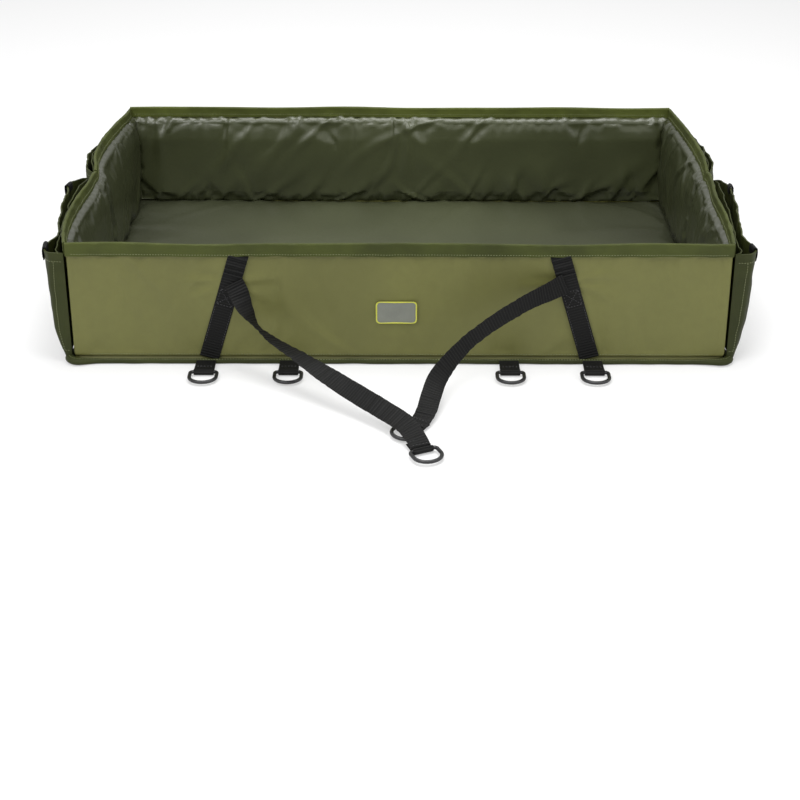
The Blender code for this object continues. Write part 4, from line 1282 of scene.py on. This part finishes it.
def carry_strap(word, route, widths):
    """A free length of webbing that twists away from the wall, with its ring at the end."""
    joint = JOINTS[word + "_carry_ring_swivel"]
    centre = np.array(joint["pos_m"])
    line, turns = smooth_line(route, 420), smooth_line(widths, 420)
    end = line[-1]
    ahead = unit((end - np.asarray(route[-2])) * [1, 1, 0])
    line = np.concatenate([line[:-6], [centre - ahead * 0.0072 + [0, 0, 0.0026]]])
    turns = np.concatenate([turns[:-6], turns[-1:]])
    strap = word + "_carry_strap"
    piece = fix(webbing(word + "_carry_webbing", line, turns, sizes().webbing_width,
                        sizes().webbing_thick, 0.0007), strap, strap)
    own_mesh(piece)
    loop, wide = bar_wrap(centre, ahead, 0.0240)
    loop = loop[int(len(loop) * 0.16):]
    hem = webbing(word + "_carry_hem", loop, wide, LOOP_WIDE, LOOP_THICK)
    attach(hem, strap)
    ring = ring_mesh(word + "_carry_dee", word + "_carry_ring", centre, ahead)
    rows = []
    for back in (0.0100, 0.0200):
        middle = centre - ahead * back + [0, 0, 0.0036 + 0.16 * (back - 0.0100)]
        rows.append((middle + np.linspace(-0.0125, 0.0125, 10)[:, None] * wide, UP))
    sewn = stitches(word + "_carry_stitches", rows, strap, "black thread")
    round(float(lengths(line)[-1]), 3)


def closing_tab(word):
    """Closing webbing behind the mat: a straight tab, and its tip with a doubled end."""
    rise, turn = JOINTS[word + "_tab_rise"]["pos_m"], JOINTS[word + "_tab_tip_turn"]["pos_m"]
    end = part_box(word + "_closing_tab_tip")[1].y
    middle_z, along = 0.0011, (1.0, 0.0, 0.0)
    tab, tip = word + "_closing_tab", word + "_closing_tab_tip"
    line = spots(rise[0], np.linspace(rise[1] - 0.0008, turn[1] + 0.0100, 60), middle_z)
    piece = webbing(word + "_tab_webbing", line, along, sizes().webbing_width, LOOP_THICK)
    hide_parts(tab)
    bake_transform(piece)
    line = spots(rise[0], np.linspace(turn[1] + 0.0100, end, 40), middle_z)
    flat = ribbon_parts(line, along, sizes().webbing_width, LOOP_THICK)
    line = spots(rise[0], np.linspace(end - 0.030, end - 0.0004, 14), middle_z + 0.0015)
    doubled = ribbon_parts(line, along, 0.0290, 0.0013)
    fix(make(word + "_tip_webbing", join([flat, doubled]), "webbing"), tip, tip)
    rows = [(spots(np.linspace(-0.012, 0.012, 10) + rise[0], y, middle_z + 0.0023), UP)
            for y in (end - 0.0040, end - 0.0260)]
    stitches(word + "_tip_stitches", rows, tip, "black thread")


def blank_patch():
    """A plain sewn patch with rounded corners and an overlocked edge."""
    low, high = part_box("front_patch")
    cx, cz = (low.x + high.x) / 2, (low.z + high.z) / 2
    half_w, half_h, radius = (high.x - low.x) / 2, (high.z - low.z) / 2, 0.0060
    outline = []
    for sx, sz, start in ((1, 1, 0), (-1, 1, 90), (-1, -1, 180), (1, -1, 270)):
        for a in np.radians(np.linspace(start, start + 90, 10)):
            outline.append((cx + sx * (half_w - radius) + radius * math.cos(a),
                            cz + sz * (half_h - radius) + radius * math.sin(a)))
    outline = np.array(outline)
    y_face = -HALF_D - 0.0013
    centre = np.array([cx, cz])
    rings = [spots(outline[:, 0], -HALF_D - 0.0002, outline[:, 1])]
    for share in (1.0, 0.97, 0.80, 0.55, 0.25):
        flat = centre + (outline - centre) * share
        rings.append(spots(flat[:, 0], y_face, flat[:, 1]))
    index = np.arange(len(rings) * len(outline)).reshape(len(rings), -1)
    around = np.concatenate([index, index[:, :1]], axis=1)
    faces = [index[0], *quads(around), index[-1]]
    fix(make("front_patch_cloth", (np.concatenate(rings), faces, None), "patch_cloth"),
        "front_wall", "front_patch")
    edge = np.concatenate([outline, outline[:1]])
    steps = lengths(edge)
    even = np.linspace(0, steps[-1], 240, endpoint=False)
    loop = np.stack([np.interp(even, steps, edge[:, 0]), np.interp(even, steps, edge[:, 1])], -1)
    inward = unit(centre - loop)
    loop = loop + inward * 0.0008
    line = spots(loop[:, 0], y_face + 0.0001, loop[:, 1])
    across = spots(inward[:, 0], 0.0, inward[:, 1])
    points, faces, lay = tube_parts(line, across, (0, -1, 0), 0.0012, 0.0009, 10, True)
    swell = 1 + 0.16 * np.repeat(np.sin(even * 2 * math.pi / 0.0016), 10)[:, None]
    middle = np.repeat(line, 10, axis=0)
    border = make("front_patch_edge", (middle + (points - middle) * swell, faces, lay),
                  "patch edge")
    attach(border, "front_wall")


# Stage


def make_camera():
    camera = bpy.data.cameras.new("photo_camera")
    camera.sensor_width = 36.0
    camera.lens = 73.417
    camera.shift_y = -0.1681
    camera.clip_end = 50.0
    holder = bpy.data.objects.new("photo_camera", camera)
    holder.location = (0.0008, -2.5643, 1.1443)
    holder.rotation_mode = "ZYX"
    holder.rotation_euler = (math.radians(90 - 23.65), 0.0, math.radians(0.10))
    bpy.context.scene.collection.objects.link(holder)
    bpy.context.scene.camera = holder


def soft_light(name, place, target, size, power):
    light = bpy.data.lights.new(name, "AREA")
    light.shape = "RECTANGLE"
    light.size, light.size_y = size
    light.energy = power
    holder = bpy.data.objects.new(name, light)
    holder.location = place
    way = Vector(target) - Vector(place)
    holder.rotation_euler = way.to_track_quat("-Z", "Y").to_euler()
    bpy.context.scene.collection.objects.link(holder)


def make_stage():
    scene = bpy.context.scene
    scene.view_settings.view_transform = "Standard"
    scene.world = bpy.data.worlds.new("studio")
    w = Nodes(scene.world)
    sky = w.tree.nodes["Background"]
    w.feed(sky.inputs["Color"], (1.0, 1.0, 1.0))
    w.feed(sky.inputs["Strength"], 0.46)
    white = w.node("Background", {}, {"Strength": 1.0})
    w.feed(w.tree.nodes["World Output"].inputs[0], w.glow_through(sky.outputs[0], white))
    mesh = bpy.data.meshes.new("studio_floor")
    reach = 14.0
    corners = [(-1, -1), (1, -1), (1, 1), (-1, 1)]
    mesh.from_pydata([(reach * x, reach * y, 0) for x, y in corners], [], [(0, 1, 2, 3)])
    floor = bpy.data.objects.new("studio_floor", mesh)
    floor.location.z = -0.0004
    scene.collection.objects.link(floor)
    r = Recipe("studio floor", roughness=0.9, specular=0.0)
    r.feed(r.shader.inputs["Base Color"], (0.86, 0.86, 0.86))
    glow = r.node("Emission", {}, {"Color": (1.0, 1.0, 1.0), "Strength": 1.0})
    mixed = r.glow_through(r.shader.outputs[0], glow, 0.45)
    r.feed(r.tree.nodes["Material Output"].inputs[0], mixed)
    mesh.materials.append(r.material)
    soft_light("key_light", (-1.2, -1.9, 2.6), (0.0, -0.1, 0.05), (2.2, 1.6), 48.0)
    soft_light("top_light", (0.1, 0.1, 2.6), (0.0, 0.05, 0.0), (2.6, 1.3), 66.0)
    soft_light("fill_light", (2.2, -1.4, 1.6), (0.0, 0.0, 0.1), (1.6, 1.6), 14.0)


# Operators


class MAT_OT_stage(Operator):
    """Camera, lights and the plain floor."""

    bl_idname = "unhooking_mat.stage"
    bl_label = "Stage"

    def execute(self, context):
        make_camera()
        make_stage()
        return {"FINISHED"}


class MAT_OT_carry_straps(Operator):
    """The two free carry straps with their rings."""

    bl_idname = "unhooking_mat.carry_straps"
    bl_label = "Carry straps"

    def execute(self, context):
        carry_strap("left", LEFT_ROUTE, LEFT_WIDTHS)
        carry_strap("right", RIGHT_ROUTE, RIGHT_WIDTHS)
        return {"FINISHED"}


class MAT_OT_floor(Operator):
    """The floor's foam, cover, base cloth, welt and hinge strip."""

    bl_idname = "unhooking_mat.floor"
    bl_label = "Floor"

    def execute(self, context):
        for word, side_y in (("front", -1), ("rear", 1)):
            floor_foam(word, side_y)
            base_skin(word, side_y)
            welts(word, side_y)
        floor_cover()
        hinge_strip()
        return {"FINISHED"}


class MAT_OT_walls(Operator):
    """Outer cloth, foam, liner and binding of the six wall panels."""

    bl_idname = "unhooking_mat.walls"
    bl_label = "Walls"

    def execute(self, context):
        for side in all_sides():
            outer_panels(side)
            wall_foam(side)
            wall_liners(side)
            bindings(side)
        return {"FINISHED"}


class MAT_OT_gussets(Operator):
    """The corner gussets and their pulls."""

    bl_idname = "unhooking_mat.gussets"
    bl_label = "Gussets"

    def execute(self, context):
        for side in all_sides():
            if not side.long_wall:
                gussets(side)
        return {"FINISHED"}


class MAT_OT_webbing(Operator):
    """Wall straps, D-ring loops, rings and closing tabs."""

    bl_idname = "unhooking_mat.webbing"
    bl_label = "Webbing and rings"

    def execute(self, context):
        for word, side_x in (("left", -1), ("right", 1)):
            wall_straps(word, side_x)
            closing_tab(word)
            for place in ("outer", "inner"):
                base_ring(word + "_" + place)
        return {"FINISHED"}


class MAT_OT_patch(Operator):
    """The blank patch on the front wall."""

    bl_idname = "unhooking_mat.patch"
    bl_label = "Patch"

    def execute(self, context):
        blank_patch()
        return {"FINISHED"}


OPERATORS = (MAT_OT_stage, MAT_OT_carry_straps, MAT_OT_floor, MAT_OT_walls, MAT_OT_gussets,
             MAT_OT_webbing, MAT_OT_patch)


class MAT_PT_panel(Panel):
    """Lists the mat's sizes, colours and pieces."""

    bl_label = "Unhooking mat"
    bl_idname = "MAT_PT_panel"
    bl_space_type = "VIEW_3D"
    bl_region_type = "UI"
    bl_category = "Mat"

    def draw(self, context):
        layout = self.layout
        for group in (context.scene.mat_sizes, context.scene.mat_colours):
            column = layout.column()
            for name in group.__annotations__:
                column.prop(group, name)
        for operator in OPERATORS:
            layout.operator(operator.bl_idname)


CLASSES = (MatSizes, MatColours, *OPERATORS, MAT_PT_panel)


def register():
    for item in CLASSES:
        bpy.utils.register_class(item)
    bpy.types.Scene.mat_sizes = PointerProperty(type=MatSizes)
    bpy.types.Scene.mat_colours = PointerProperty(type=MatColours)


def unregister():
    del bpy.types.Scene.mat_colours
    del bpy.types.Scene.mat_sizes
    for item in reversed(CLASSES):
        bpy.utils.unregister_class(item)


def main():
    register()
    for operator in OPERATORS:
        group, name = operator.bl_idname.split(".")
        getattr(getattr(bpy.ops, group), name)()


if __name__ == "__main__":
    main()
